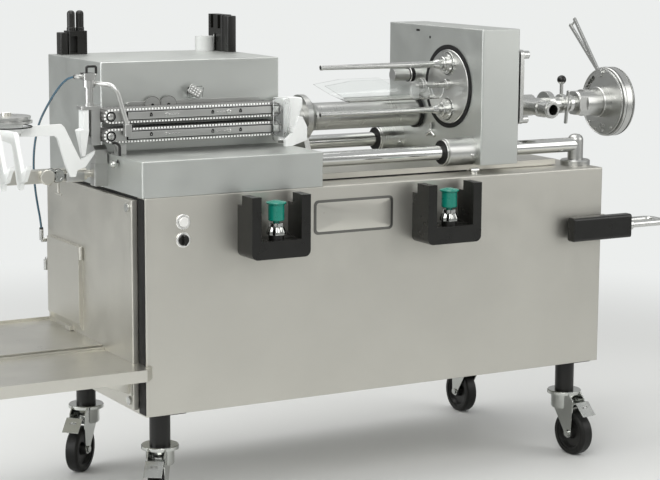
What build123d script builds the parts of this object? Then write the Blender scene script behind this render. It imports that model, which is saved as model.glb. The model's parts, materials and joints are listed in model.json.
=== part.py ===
from build123d import *
from math import atan2, cos, degrees, pi, radians, sin, tan
import os

os.makedirs("parts", exist_ok=True)

# A linking machine on four casters: a cabinet, two toothed belts that carry the filled casing, a
# carriage with a turret of two filling horns, and the docking parts at both ends.
# All sizes are in millimetres. X runs along the cabinet to the right, Y to the back, Z up.

# Clearances
seat_gap = 0.3
running_gap = 0.05

# Cabinet
cabinet_length = 1390.0
cabinet_depth = 604.0
cabinet_height = 547.0
floor_clearance = 270.0
cabinet_top = floor_clearance + cabinet_height
cabinet_sheet = 2.5
cabinet_bend = 5.0
access_flange = 42.0

# End cover with its two quarter-turn locks
cover_front = 42.0
cover_low = 12.0
cover_top_margin = 9.0
cover_thickness = 14.0
cover_gasket = 2.0
gasket_width = 14.0
cover_sheet = 2.0
lock_y = 64.0
lock_margin = 20.0
lock_radius = 11.0
lock_shank_radius = 6.0
lock_head = 5.0
lock_cam_length = 34.0
lock_cam_thickness = 4.0
hatch_front = 360.0
hatch_depth = 220.0
hatch_low = 425.0
hatch_height = 222.0
hatch_stand = 12.0
hatch_slope = 9.0
hatch_latch_width = 34.0
hatch_latch_height = 12.0

# Housings that stand on the cabinet
housing_sheet = 2.0
housing_bend = 4.0
step_left = -5.0
step_right = 498.0
step_depth = 245.0
step_height = 89.0
drive_left = -7.0
drive_right = 499.0
drive_height = 315.0

# Guide bed and guide rods
bed_right = 1300.0
bed_front = 100.0
bed_back = 504.0
bed_foot = 3.0
bed_thickness = 15.0
bed_foot_inset = 8.0
rod_radius = 20.0
rod_height = 56.5
front_rod_y = 92.0
rear_rod_y = 465.0
rod_socket_radius = 30.0
rod_socket_length = 22.0
post_x = 1362.0
post_radius = 21.5
post_top = 86.0
post_dome = 17.0
post_foot_radius = 41.5
post_foot_height = 15.0
post_foot_chamfer = 3.0
buffer_y = 42.0
buffer_radius = 10.0
buffer_length = 26.0

# Brake tube beside the horns
tube_y = 370.0
tube_height = 139.0
tube_radius = 38.0
tube_wall = 3.0
tube_flange_x = 626.0
tube_flange_thickness = 16.0
tube_flange_radius = 62.5
tube_flange_neck = 22.0
tube_bracket_width = 110.0
tube_screw_radius = 3.0

# Working axis, turret and horns
work_y = 205.0
turret_height = 223.0
horn_offset = 62.5
horn_tip_x = 603.0
horn_tip_radius = 6.7
horn_base_radius = 9.0
horn_bore_tip = 5.0
horn_bore_base = 7.0
horn_cone_length = 14.0
horn_collar_radius = 13.0
horn_collar_length = 34.0
horn_root_radius = 15.0
nut_radius = 28.5
nut_thickness = 9.0
nut_hub_radius = 20.0
nut_hub_length = 12.0
nut_lobes = 5
nut_notch_radius = 8.0
disc_radius = 102.0
disc_thickness = 22.0
disc_proud = 4.0
disc_shaft_radius = 16.0
disc_shaft_length = 24.0
disc_pin_radius = 3.0
disc_pin_length = 9.0
disc_pin_offset = 36.0
arm_tube_radius = 8.5
arm_tube_rise = 6.0
arm_left_x = 897.0
arm_collar_radius = 15.0
arm_collar_length = 10.0
arm_block_width = 14.0
arm_block_length = 22.0
arm_plate_half_width = 26.0
arm_plate_half_height = 14.0
arm_plate_thickness = 3.0
arm_plate_x = 935.0
hoop_radius = 19.0
hoop_wire_radius = 1.5
trough_radius = 33.0
trough_wall = 3.0
trough_right_x = 971.0
trough_crest_left = 678.0
trough_crest_right = 803.0
trough_crest_height = 28.0
trough_edge_height = 6.0

# Carriage housing
carriage_x = 1008.0
carriage_length = 121.0
carriage_front = 40.0
carriage_depth = 479.0
carriage_lift = 21.0
carriage_height = 365.0
seal_ring_width = 12.0
seal_ring_proud = 3.0
sleeve_radius = 37.5
front_sleeve_length = 88.0
rear_sleeve_length = 73.0
sleeve_inside = 30.0
wiper_radius = 32.0
wiper_length = 8.0
tube_seal_radius = 44.0
tube_seal_length = 9.0
bushing_y = 350.0
bushing_height = 247.0
bushing_radius = 17.0
bushing_length = 93.0
bushing_ring_radius = 20.0
bushing_ring_length = 15.0
slide_travel = 60.0

# Turret gear motor inside the carriage
gearbox_width = 120.0
gearbox_height = 84.0
gearbox_length = 38.0
motor_radius = 36.0
motor_length = 130.0

# Inlet on the carriage's right side
pivot_plate_thickness = 12.0
pivot_plate_front = 48.0
pivot_plate_back = 330.0
pivot_plate_low = 126.0
pivot_plate_height = 202.0
pivot_gasket = 9.0
pivot_knob_radius = 11.0
pivot_knob_length = 22.0
support_leg_radius = 5.0
support_leg_side = 40.0
support_leg_slant = 24.0
support_leg_drop = 52.0
pipe_radius = 20.0
pipe_bore_radius = 17.0
valve_x = 1252.0
valve_stub_front = 50.0
valve_stub_back = 170.0
valve_stub_radius = 21.0
valve_ring_radius = 24.0
valve_bore_radius = 15.0
valve_body_radius = 30.0
valve_body_length = 70.0
clamp_x = 1330.0
clamp_radius = 37.0
clamp_length = 18.0
pipe_end_x = 1556.0
pipe_ring_radius = 24.0
pipe_ring_x = 1412.0
pipe_ring_length = 12.0
handle_x = 1385.0
handle_hub_radius = 27.0
handle_hub_length = 14.0
handle_bar_width = 10.0
handle_bar_thickness = 5.0
handle_bar_length = 95.0
handle_rod_radius = 5.0
handle_rod_length = 44.0
handle_knob_radius = 13.0

# Coupling to the filler: a telescoping union, a disc and its lever
union_x = 1434.0
union_radius = 38.0
union_flats = 66.0
union_flat_length = 28.0
union_collar_radius = 44.0
union_collar_length = 22.0
coupling_x = 1538.0
coupling_radius = 99.5
coupling_thickness = 43.0
coupling_rim = 9.0
coupling_rim_depth = 6.0
coupling_groove = 5.0
coupling_groove_depth = 4.0
coupling_seat_radius = 26.0
coupling_seat_depth = 20.0
kidney_radius = 78.0
kidney_width = 15.0
lever_root_radius = 84.0
lever_length = 198.0
lever_lean = 44.0
lever_spread = 27.0
lever_bar_width = 9.0
lever_bar_thickness = 6.0
lever_pin_radius = 5.0

# Belts that carry the casing
belt_gap = 12.0
belt_left_x = -12.0
belt_right_x = 452.0
belt_core_radius = 14.0
belt_thickness = 3.0
belt_tooth = 1.5
belt_pitch = 10.0
belt_front = 175.0
belt_width = 56.0
belt_lift_travel = 10.0
beam_height = 22.0
beam_end_gap = 2.0
cheek_thickness = 3.0
cheek_height = 18.0
pulley_hub_radius = 9.0
pulley_shaft_radius = 7.5
carrier_thickness = 5.6
carrier_left = 62.0
carrier_right = 440.0
carrier_above = 28.0
stud_positions = (130.0, 175.0)
stud_height = 203.0
stud_radius = 6.0
stud_disc_radius = 22.0
stud_disc_thickness = 4.0
lug_positions = (76.0, 250.0, 400.0)
lug_width = 40.0
sensor_x = 226.0
sensor_width = 43.0
sensor_height = 31.0
sensor_thickness = 4.0
sensor_tilt = 18.0

# Belt gear motor inside the drive housing
belt_gearbox_width = 90.0
belt_gearbox_depth = 60.0
belt_gearbox_height = 150.0
belt_motor_radius = 28.0
belt_motor_length = 180.0

# Casing brake, its foot and the clear guard
brake_left = 476.0
brake_length = 58.0
brake_front = 178.0
brake_width = 56.0
brake_half_height = 51.0
brake_bore_radius = 15.0
brake_flare = 22.0
brake_waist_depth = 7.0
brake_waist_radius = 62.0
brake_foot_thickness = 12.0
guard_left = 442.0
guard_length = 47.0
guard_height = 111.0
guard_thickness = 8.0
guard_drop = 57.0
guard_boss_radius = 6.0

# Palm-button guards and the controls
palm_positions = (335.5, 849.5)
palm_width = 165.0
palm_depth = 80.0
palm_low = 655.0
palm_height = 157.0
palm_wall = 22.0
palm_front_rim = 45.0
palm_floor = 54.0
palm_notch_depth = 24.0
palm_notch_drop = 26.0
palm_corner = 16.0
palm_button_y = -50.0
palm_cap_radius = 26.0
palm_cap_rise = 9.0
palm_stem_radius = 20.5
palm_stem_height = 40.0
palm_shaft_radius = 8.0
palm_base_height = 30.0
palm_base_radius = 17.0
palm_press = 6.0
control_x = 102.5
push_drop = 64.0
selector_drop = 109.0
control_ring_radius = 19.5
control_ring_thickness = 4.0
control_barrel_radius = 11.0
push_cap_radius = 13.0
push_cap_proud = 9.0
push_travel = 4.0
selector_radius = 13.5
selector_proud = 16.0
selector_grip = 7.0

# Knee lever at the right end
knee_left = 1264.0
knee_length = 196.0
knee_low = 621.0
knee_height = 66.0
knee_front = -12.0
knee_thickness = 34.0
knee_bend = 8.0
knee_rod_radius = 9.0
knee_rod_end = 1590.0
knee_collar_radius = 14.0
knee_pivot_y = 40.0
knee_boss_length = 46.0
knee_boss_half = 22.0
knee_rod_inset = 30.0
knee_corner_radius = 22.5
knee_collar_length = 12.0

# Casters
leg_x = (66.0, cabinet_length - 65.0)
leg_y = (66.0, cabinet_depth - 54.0)
leg_radius = 26.5
leg_bottom = 180.0
leg_plate = 100.0
leg_plate_thickness = 6.0
wheel_radius = 62.5
wheel_width = 36.0
hub_radius = 47.0
hub_web = 12.0
hub_boss_radius = 15.0
tyre_round = 6.0
axle_radius = 5.0
axle_offset = 43.0
axle_head_radius = 9.0
axle_head = 5.0
fork_gap = 2.5
fork_sheet = 3.0
fork_ring_radius = 48.0
fork_ring_height = 10.0
fork_eye_radius = 13.0
fork_shoulder = 30.0
kingpin_radius = 8.0
kingpin_head_radius = 16.0
kingpin_head = 5.0
pedal_pivot_u = 52.0
pedal_pivot_z = 146.0
pedal_pin_radius = 3.5
pedal_width = 46.0
pedal_reach = 53.0
pedal_drop = 26.0
pedal_sheet = 2.5
pedal_slot_length = 18.0
pedal_slot_width = 5.0
caster_names = ("front_left", "front_right", "rear_left", "rear_right")
caster_turns = {"front_left": -125.0, "front_right": -84.0, "rear_left": -137.0, "rear_right": 90.0}
braked_casters = ("front_left", "front_right", "rear_left")

# Drip trays at the left end
tray_left = -430.0
tray_sheet = 2.0
front_tray_front = -38.0
front_tray_back = 225.0
front_tray_top = 400.0
front_tray_lip = 30.0
rear_tray_front = 235.0
rear_tray_top = 412.0
rear_tray_lip = 12.0
tray_rim = 8.0
tray_wrap = 13.0
tray_corner = 9.0
tray_brackets_y = (60.0, 300.0, 480.0)
bracket_thickness = 4.0
bracket_reach = 190.0
bracket_drop = 80.0

# Roof holders
holder_base_height = 62.0
holder_width = 52.0
holder_depth = 40.0
holder_left_x = 62.0
holder_right_x = 480.0
holder_back_margin = 6.0
holder_pin_radius = 10.5
holder_pin_height = 54.0
holder_pin_spacing = 25.0
holder_pin_flange = 1.0
holder_pin_neck = 8.0
holder_recess = 12.0
tall_holder_height = 100.0
tall_holder_width = 30.0
tall_holder_depth = 86.0
tall_slot_width = 12.0
tall_slot_height = 48.0
roof_cap_x = 440.0
roof_cap_radius = 25.0
roof_cap_height = 40.0

# Discharge parts at the left end of the belts
dome_left = -41.0
dome_right = -8.0
dome_front = 207.0
dome_back = 243.0
dome_low = cabinet_top + 64.0
dome_top = cabinet_top + 114.0
dome_arch = 14.0
spacer_low = cabinet_top + 7.0
panel_left = -57.0
panel_right = -33.0
panel_front = 190.0
panel_back = 222.0
shelf_height = cabinet_top + 203.0
shelf_left = -84.0
shelf_right = -31.0
shelf_thickness = 8.0
column_x = -56.0
column_radius = 8.5
column_collar_radius = 11.5
column_shoulder = cabinet_top + 257.0
head_low = cabinet_top + 276.0
head_height = 17.0
head_length = 30.0
head_width = 34.0
head_elbow_radius = 3.2
nipple_radius = 5.0
nipple_socket = 9.0
arm_hub_radius = 15.0
arm_bar_radius = 5.8
arm_bend_radius = 30.0
arm_front_y = 155.0
arm_knee_x = -5.0
arm_end_x = 25.0
arm_end_low = cabinet_top + 136.0
arm_end_height = 30.0
arm_end_length = 19.0
arm_end_width = 18.0
chute_top_z = cabinet_top + 203.0
chute_neck_z = cabinet_top + 151.0
chute_tip_z = cabinet_top + 86.0
chute_top_length = 13.0
chute_neck_length = 24.0
chute_step = 4.0
chute_width = 34.0
chute_tip_size = 9.0
chute_top_x = -71.0
chute_neck_x = -76.0
chute_tip_x = -74.0
clamp_plate_left = -5.0
clamp_plate_right = 26.0
clamp_plate_top = cabinet_top + 115.0
clamp_plate_thickness = 4.0
clamp_slot_width = 8.0
clamp_knob_radius = 9.0
clamp_knob_length = 14.0

# Hook conveyor nose
nose_wheel_x = -273.0
nose_tail_x = -400.0
nose_wheel_z = cabinet_top + 168.0
nose_disc_radius = 63.0
nose_disc_thickness = 6.0
nose_disc_gap = 5.0
sprocket_radius = 32.0
chain_width = 7.0
chain_height = 24.0
hook_thickness = 10.0
hook_top = cabinet_top + 167.0
hook_notch = cabinet_top + 77.0
hook_pitch = 43.0
hooks_per_run = 3
rail_low = cabinet_top + 21.0
rail_height = 32.0
rail_front = 226.0
rail_width = 34.0
rail_right = -104.0
rail_left = -430.0
nose_post_radius = 12.0
nose_shaft_radius = 9.0
nose_shaft_y = 243.0
nose_shaft_z = cabinet_top + 37.0
nose_bushing_radius = 15.0
nose_knob_radius = 19.0
nose_knob_left = -165.0
tee_rod_radius = 3.0
tee_rod_drop = 30.0

# Air hose and its fittings at the rear left corner
hose_radius = 3.0
fitting_inset = 14.0
fitting_stand = 16.0
upper_fitting_x = -28.0
upper_fitting_z = 629.0
lower_fitting_x = -17.0
lower_fitting_z = 575.0
fitting_radius = 9.0
fitting_nut = 10.0
fitting_body_radius = 6.3
fitting_stem_radius = 5.6
fitting_rise = 29.0
hose_from_head = (
    (-91.0, 0.0, 0.0), (-97.0, 23.0, -2.5), (-103.0, 57.0, -18.5), (-108.0, 100.0, -48.5),
    (-111.0, 147.0, -85.5), (-109.0, 197.0, -121.5),
)
hose_to_fitting = (
    (-76.0, -164.0, 319.0), (-68.0, -123.0, 279.0), (-58.0, -87.0, 237.0), (-46.0, -55.0, 191.0),
    (-32.0, -27.0, 143.0), (-17.0, -5.0, 95.0), (-5.0, 10.0, 59.0), (0.0, 16.0, 30.3),
)

# Places worked out from the sizes above
step_top = cabinet_top + step_height
drive_top = cabinet_top + drive_height
bed_top = cabinet_top + bed_foot + bed_thickness
rod_z = cabinet_top + rod_height
tube_z = cabinet_top + tube_height
turret_z = cabinet_top + turret_height
work_z = turret_z - horn_offset
hose_points = [(x, work_y + y, head_low + head_height / 2 + z) for x, y, z in hose_from_head]
hose_points += [(upper_fitting_x + x, cabinet_depth + y, upper_fitting_z + z) for x, y, z in hose_to_fitting]
carriage_low = cabinet_top + carriage_lift
carriage_top = carriage_low + carriage_height
carriage_back = carriage_front + carriage_depth
carriage_right = carriage_x + carriage_length
disc_face_x = carriage_x - disc_proud
disc_back_x = disc_face_x + disc_thickness
belt_outer_radius = belt_core_radius + belt_thickness + belt_tooth
belt_back = belt_front + belt_width
upper_belt_z = work_z + belt_gap / 2 + belt_outer_radius
lower_belt_z = work_z - belt_gap / 2 - belt_outer_radius
cover_back_x = -cover_gasket
cover_face_x = cover_back_x - cover_thickness
pivot_face_x = carriage_right + pivot_gasket + pivot_plate_thickness
cover_top = cabinet_top - cover_top_margin
gasket_inset = 3 * cover_sheet
gasket_front = cover_front + gasket_inset
push_height = cabinet_top - push_drop
selector_height = cabinet_top - selector_drop
upper_lock_z = cover_top - lock_margin
lower_lock_z = floor_clearance + cover_low + lock_margin
brake_right = brake_left + brake_length
brake_low = work_z - brake_half_height

X_AXIS = Vector(1, 0, 0)
Y_AXIS = Vector(0, 1, 0)
Z_AXIS = Vector(0, 0, 1)


def block(x, y, z):
    """A box from three (low, high) pairs."""
    middle = [(pair[0] + pair[1]) / 2 for pair in (x, y, z)]
    size = [pair[1] - pair[0] for pair in (x, y, z)]
    return Pos(*middle) * Box(*size)


def cross_to(along):
    """A direction square to the given one."""
    along = Vector(*along)
    return along.cross(Z_AXIS) if abs(along.Z) < 0.9 * along.length else Y_AXIS


def turned(profile, origin, along):
    """A turned solid; the profile's points are (distance along the axis, radius)."""
    outline = make_face(Polyline(*profile, close=True))
    solid = revolve(outline, Axis.X, 360)
    return Plane(origin=origin, x_dir=along, z_dir=cross_to(along)).location * solid


def rod(start, along, length, radius, bore=0.0):
    """A round bar or a tube from a start point along a direction."""
    low = bore if bore > 0 else 0.0
    return turned([(0, low), (length, low), (length, radius), (0, radius)], start, along)


def slab(outline, plane, thickness):
    """A plate of the given outline, as thick as said along the plane's normal."""
    return extrude(plane * make_face(Polyline(*outline, close=True)), thickness)


def shelled(x, y, z, wall, bend, open_below=False):
    """A folded sheet housing, rounded along its upright and top edges."""
    outer = block(x, y, z)
    outer = fillet(outer.edges().filter_by(Axis.Z), bend)
    outer = fillet(outer.faces().sort_by(Axis.Z)[-1].edges(), bend * 0.6)
    low = z[0] - 1 if open_below else z[0] + wall
    inner = block((x[0] + wall, x[1] - wall), (y[0] + wall, y[1] - wall), (low, z[1] - wall))
    return outer - inner


def joined(pieces):
    """All pieces fused to one."""
    whole = pieces[0]
    for piece in pieces[1:]:
        whole = whole + piece
    return whole


def solids_of(*shapes):
    """The separate solids of all shapes as one group."""
    found = []
    for shape in shapes:
        found.extend(shape.solids())
    return Compound(children=found)


# Cabinet and its end cover

def lock_passage(x, lock_z):
    """The keyhole that lets a lock's cam through when the cam is turned upright."""
    way = -1 if lock_z > floor_clearance + cabinet_height / 2 else 1
    reach = sorted((lock_z, lock_z + way * (lock_cam_length - lock_shank_radius + 1)))
    half = lock_shank_radius + 1
    hole = rod((x[0], lock_y, lock_z), X_AXIS, x[1] - x[0], half)
    return hole + block(x, (lock_y - half, lock_y + half), reach)


def cabinet_shell():
    shell = shelled((0, cabinet_length), (0, cabinet_depth), (floor_clearance, cabinet_top),
                    cabinet_sheet, cabinet_bend)
    shell = shell - block((-1, cabinet_sheet + 1), (gasket_front + gasket_width, cabinet_depth - access_flange),
                          (floor_clearance + access_flange, cabinet_top - access_flange))
    for z in (push_height, selector_height):
        shell = shell - rod((control_x, -1, z), Y_AXIS, cabinet_sheet + 2,
                            control_barrel_radius + running_gap)
    for z in (upper_lock_z, lower_lock_z):
        shell = shell - lock_passage((-1, cabinet_sheet + 1), z)
    return solids_of(shell, knee_bearing())


def end_cover():
    y = (cover_front, cabinet_depth)
    z = (floor_clearance + cover_low, cover_top)
    lid = block((cover_face_x, cover_back_x), y, z)
    lid = fillet(lid.faces().sort_by(Axis.X)[0].edges(), cover_sheet)
    lid = lid - block((cover_face_x + cover_sheet, cover_back_x + 1), (y[0] + cover_sheet, y[1] - cover_sheet),
                      (z[0] + cover_sheet, z[1] - cover_sheet))
    for lock_z in (upper_lock_z, lower_lock_z):
        lid = lid - rod((cover_face_x - 1, lock_y, lock_z), X_AXIS, cover_sheet + 2,
                        lock_shank_radius + running_gap)
    hatch_top = hatch_low + hatch_height
    side = [(cover_face_x, hatch_low), (cover_face_x - hatch_stand + hatch_slope, hatch_low),
            (cover_face_x - hatch_stand, hatch_low + 2 * hatch_slope),
            (cover_face_x - hatch_stand, hatch_top), (cover_face_x, hatch_top)]
    plane = Plane(origin=(0, hatch_front + hatch_depth, 0), x_dir=(1, 0, 0), z_dir=(0, -1, 0))
    hatch = slab(side, plane, hatch_depth)
    latch_y = hatch_front + 2 * hatch_latch_width
    latch = block((cover_face_x - hatch_stand, cover_face_x), (latch_y, latch_y + hatch_latch_width),
                  (hatch_low - hatch_latch_height, hatch_low))
    knuckle = rod((cover_face_x - lock_head, hatch_front, hatch_top - hatch_latch_width), Z_AXIS,
                  hatch_latch_width, lock_head)
    return solids_of(lid + hatch + latch + knuckle, cover_gasket_ring())


def cover_gasket_ring():
    y = (cover_front, cabinet_depth)
    z = (floor_clearance + cover_low, cover_top)
    outer = block((cover_back_x, 0), (gasket_front, y[1] - gasket_inset), (z[0] + gasket_inset, z[1] - gasket_inset))
    reach = gasket_inset + gasket_width
    ring = outer - block((cover_back_x - 1, 1), (y[0] + reach, y[1] - reach), (z[0] + reach, z[1] - reach))
    for lock_z in (upper_lock_z, lower_lock_z):
        ring = ring - lock_passage((cover_back_x - 1, 1), lock_z)
    return ring


def cover_lock(lock_z):
    """A quarter-turn lock: a slotted head, a shank and the cam that grips behind the flange."""
    head = rod((cover_face_x - lock_head - seat_gap, lock_y, lock_z), X_AXIS, lock_head, lock_radius)
    head = head - block((cover_face_x - 2 * lock_head, cover_face_x - lock_head + 1.5),
                        (lock_y - 1.5, lock_y + 1.5), (lock_z - lock_radius, lock_z + lock_radius))
    shank_end = cabinet_sheet + seat_gap + lock_cam_thickness
    shank = rod((cover_face_x - seat_gap - 1, lock_y, lock_z), X_AXIS, shank_end - cover_face_x + seat_gap + 1,
                lock_shank_radius)
    cam = block((cabinet_sheet + seat_gap, shank_end), (lock_y - lock_cam_length + lock_shank_radius,
                                                        lock_y + lock_shank_radius),
                (lock_z - lock_shank_radius, lock_z + lock_shank_radius))
    return head + shank + cam


# Housings on the cabinet

def step_housing():
    shell = shelled((step_left, step_right), (0, step_depth), (cabinet_top, step_top), housing_sheet,
                    housing_bend, open_below=True)
    return shell - rod((step_right - 3 * housing_sheet, front_rod_y, rod_z), X_AXIS, 4 * housing_sheet,
                       rod_radius)


def drive_housing():
    shell = shelled((drive_left, drive_right), (step_depth, cabinet_depth), (cabinet_top, drive_top),
                    housing_sheet, housing_bend, open_below=True)
    through = 4 * housing_sheet
    wall_x = drive_right - 3 * housing_sheet
    shell = shell - rod((wall_x, rear_rod_y, rod_z), X_AXIS, through, rod_radius)
    shell = shell - rod((wall_x, tube_y, tube_z), X_AXIS, through, tube_radius)
    hole = pulley_shaft_radius + seat_gap
    wall_y = step_depth - housing_sheet
    shell = shell - rod((belt_right_x, wall_y, lower_belt_z), Y_AXIS, through, hole)
    shell = shell - rod((belt_right_x, wall_y, upper_belt_z), Y_AXIS, through, hole)
    shell = shell - rod((belt_right_x, wall_y, upper_belt_z + belt_lift_travel), Y_AXIS, through, hole)
    return shell - block((belt_right_x - hole, belt_right_x + hole), (wall_y, wall_y + through),
                         (upper_belt_z, upper_belt_z + belt_lift_travel))


def guide_bed():
    x = (max(step_right, drive_right), bed_right)
    plate = block(x, (bed_front, bed_back), (cabinet_top + bed_foot, bed_top))
    foot = block((x[0], x[1] - bed_foot_inset), (bed_front + bed_foot_inset, bed_back - bed_foot_inset),
                 (cabinet_top, cabinet_top + bed_foot))
    x = carriage_x - 2 * buffer_radius
    buffer = rod((x, buffer_y, cabinet_top), Z_AXIS, buffer_radius - 1, buffer_radius)
    stop = rod((x - buffer_length / 2, buffer_y, cabinet_top + buffer_radius), X_AXIS, buffer_length,
               buffer_radius * 0.6)
    return [plate + foot, buffer + stop]


def guide_rod(y, wall_x):
    """One guide rod with its socket behind the housing wall and its post on the cabinet."""
    start = wall_x - housing_sheet - rod_socket_length
    bar = rod((start, y, rod_z), X_AXIS, post_x - start, rod_radius)
    socket = rod((start, y, rod_z), X_AXIS, rod_socket_length, rod_socket_radius)
    foot = rod((post_x, y, cabinet_top), Z_AXIS, post_foot_height, post_foot_radius)
    foot = chamfer(foot.edges().group_by(Axis.Z)[-1], post_foot_chamfer)
    post = rod((post_x, y, cabinet_top), Z_AXIS, post_top, post_radius)
    post = fillet(post.edges().group_by(Axis.Z)[-1], min(post_dome, post_radius * 0.9))
    return bar + socket + foot + post


def guide_frame():
    """The bed, its stop and both guide rods with their posts."""
    rods = [guide_rod(front_rod_y, step_right), guide_rod(rear_rod_y, drive_right)]
    return solids_of(*guide_bed(), *rods)


def brake_tube():
    start = drive_right - housing_sheet
    end = carriage_right - 2 * housing_sheet - slide_travel
    bore = tube_radius - tube_wall
    neck_end = tube_flange_x + tube_flange_thickness + tube_flange_neck
    profile = [(0, bore), (0, tube_radius), (tube_flange_x - start, tube_radius),
               (tube_flange_x - start, tube_flange_radius),
               (tube_flange_x + tube_flange_thickness - start, tube_flange_radius),
               (neck_end - start, tube_radius + tube_wall / 2), (neck_end + 10 - start, tube_radius),
               (end - start, tube_radius), (end - start, bore)]
    tube = turned(profile, (start, tube_y, tube_z), X_AXIS)
    screw = rod((neck_end - 6, tube_y - 2 * tube_radius, tube_z + 6), Y_AXIS, 1.5 * tube_radius,
                tube_screw_radius)
    half = tube_bracket_width / 2
    outline = [(-half, bed_top), (half, bed_top), (half, bed_top + 12),
               (tube_radius * 0.7, tube_z - tube_radius), (-tube_radius * 0.7, tube_z - tube_radius),
               (-half, bed_top + 12)]
    plane = Plane(origin=(tube_flange_x, tube_y, 0), x_dir=(0, 1, 0), z_dir=(1, 0, 0))
    bracket = slab(outline, plane, tube_flange_thickness)
    bore_cut = rod((tube_flange_x - 1, tube_y, tube_z), X_AXIS, tube_flange_thickness + 2, tube_radius)
    return tube - screw + (bracket - bore_cut)


def roof_holders():
    back = cabinet_depth - holder_back_margin
    low = drive_top
    x = (holder_left_x - holder_width / 2, holder_left_x + holder_width / 2)
    y = (back - holder_depth, back)
    left = block(x, y, (low, low + holder_base_height))
    left = fillet(left.edges().filter_by(Axis.Z), 3)
    recess = block((x[0] + 5, x[0] + 5 + holder_width * 0.36), (y[0] - 1, y[0] + holder_recess),
                   (low + 4, low + holder_base_height - 14))
    left = left - recess
    for step in (-0.5, 0.5):
        pin_x = holder_left_x + step * holder_pin_spacing
        top = low + holder_base_height
        flange = holder_pin_radius + holder_pin_flange
        profile = [(0, 0), (0, flange), (holder_pin_neck, flange), (holder_pin_neck + holder_pin_flange,
                   holder_pin_radius), (holder_pin_height, holder_pin_radius), (holder_pin_height, 0)]
        pin = turned(profile, (pin_x, back - holder_depth / 2, top), Z_AXIS)
        pin = fillet(pin.edges().group_by(Axis.Z)[-1], holder_pin_radius * 0.85)
        left = left + pin
    x = (holder_right_x - tall_holder_width / 2, holder_right_x + tall_holder_width / 2)
    y = (back - tall_holder_depth, back)
    right = block(x, y, (low, low + tall_holder_height))
    right = fillet(right.edges().filter_by(Axis.Z), 3)
    middle = back - tall_holder_depth / 2
    right = right - block((x[0] - 1, x[1] + 1), (middle - tall_slot_width / 2, middle + tall_slot_width / 2),
                          (low - 1, low + tall_slot_height))
    for place in (0.12, 0.62):
        cut_y = y[0] + place * tall_holder_depth
        right = right - block((x[0] - 1, x[0] + holder_recess), (cut_y, cut_y + tall_holder_depth * 0.2),
                              (low + tall_slot_height + 14, low + tall_holder_height + 1))
    cap = rod((roof_cap_x, back - roof_cap_radius, low), Z_AXIS, roof_cap_height, roof_cap_radius)
    dish = Pos(roof_cap_x, back - roof_cap_radius, low + roof_cap_height + 58) * Sphere(60)
    return solids_of(left, right, cap - dish)


# Belts

def loop_point(distance, offset, half_length):
    """A point beside a racetrack loop, at a distance run along its outermost line."""
    turn = pi * belt_outer_radius
    straight = 2 * half_length
    distance = distance % (2 * straight + 2 * turn)
    radius = belt_outer_radius + offset
    if distance < straight:
        return (-half_length + distance, radius)
    distance -= straight
    if distance < turn:
        angle = pi / 2 - distance / belt_outer_radius
        return (half_length + radius * cos(angle), radius * sin(angle))
    distance -= turn
    if distance < straight:
        return (half_length - distance, -radius)
    distance -= straight
    angle = -pi / 2 - distance / belt_outer_radius
    return (-half_length + radius * cos(angle), radius * sin(angle))


def belt(z):
    """A closed belt whose outer side carries cross teeth all round."""
    half_length = (belt_right_x - belt_left_x) / 2
    length = 4 * half_length + 2 * pi * belt_outer_radius
    count = round(length / belt_pitch)
    pitch = length / count
    outline = []
    for step in range(count):
        for share, offset in ((0.0, -belt_tooth), (0.12, 0.0), (0.48, 0.0), (0.6, -belt_tooth)):
            outline.append(loop_point((step + share) * pitch, offset, half_length))
    plane = Plane(origin=((belt_left_x + belt_right_x) / 2, belt_front, z), x_dir=(1, 0, 0), z_dir=(0, -1, 0))
    solid = extrude(plane * make_face(Polyline(*outline, close=True)), -belt_width)
    inner = SlotCenterToCenter(2 * half_length, 2 * belt_core_radius)
    return solid - extrude(plane * inner, -belt_width)


def pulley(x, z, shaft_end):
    """A belt pulley with low end flanges, its front hub and its shaft to the back."""
    radius = belt_core_radius - seat_gap
    front = belt_front
    profile = [(belt_back - front, radius), (0, radius), (0, pulley_hub_radius),
               (-cheek_thickness, pulley_hub_radius), (-cheek_thickness, 0), (shaft_end - front, 0),
               (shaft_end - front, pulley_shaft_radius), (belt_back - front, pulley_shaft_radius)]
    return turned(profile, (x, front, z), Y_AXIS)


def belt_cheek(z, y, thickness):
    """A thin side plate with round ends and a bearing hole for each hub."""
    plane = Plane(origin=((belt_left_x + belt_right_x) / 2, y, z), x_dir=(1, 0, 0), z_dir=(0, -1, 0))
    span = belt_right_x - belt_left_x
    return extrude(plane * SlotCenterToCenter(span, cheek_height + 8), -thickness)


def belt_beam(z, back):
    """The bar inside a belt loop with its front cheek and the lugs that carry it at the back."""
    reach = belt_core_radius + beam_end_gap
    bar = block((belt_left_x + reach, belt_right_x - reach), (belt_front, belt_back),
                (z - beam_height / 2, z + beam_height / 2))
    beam = bar + belt_cheek(z, belt_front - cheek_thickness, cheek_thickness)
    for x in (belt_left_x, belt_right_x):
        beam = beam - rod((x, belt_front - cheek_thickness - 1, z), Y_AXIS, cheek_thickness + 2,
                          pulley_hub_radius + running_gap)
    for x in lug_positions:
        beam = beam + block((x - lug_width / 2, x + lug_width / 2), (belt_back, back),
                            (z - beam_height / 2, z + beam_height / 2))
    rear = belt_cheek(z, belt_back + seat_gap, cheek_thickness * 0.6)
    for x in (belt_left_x, belt_right_x):
        rear = rear - rod((x, belt_back - 1, z), Y_AXIS, cheek_thickness + 2, pulley_shaft_radius + running_gap)
    return beam + rear


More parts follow.
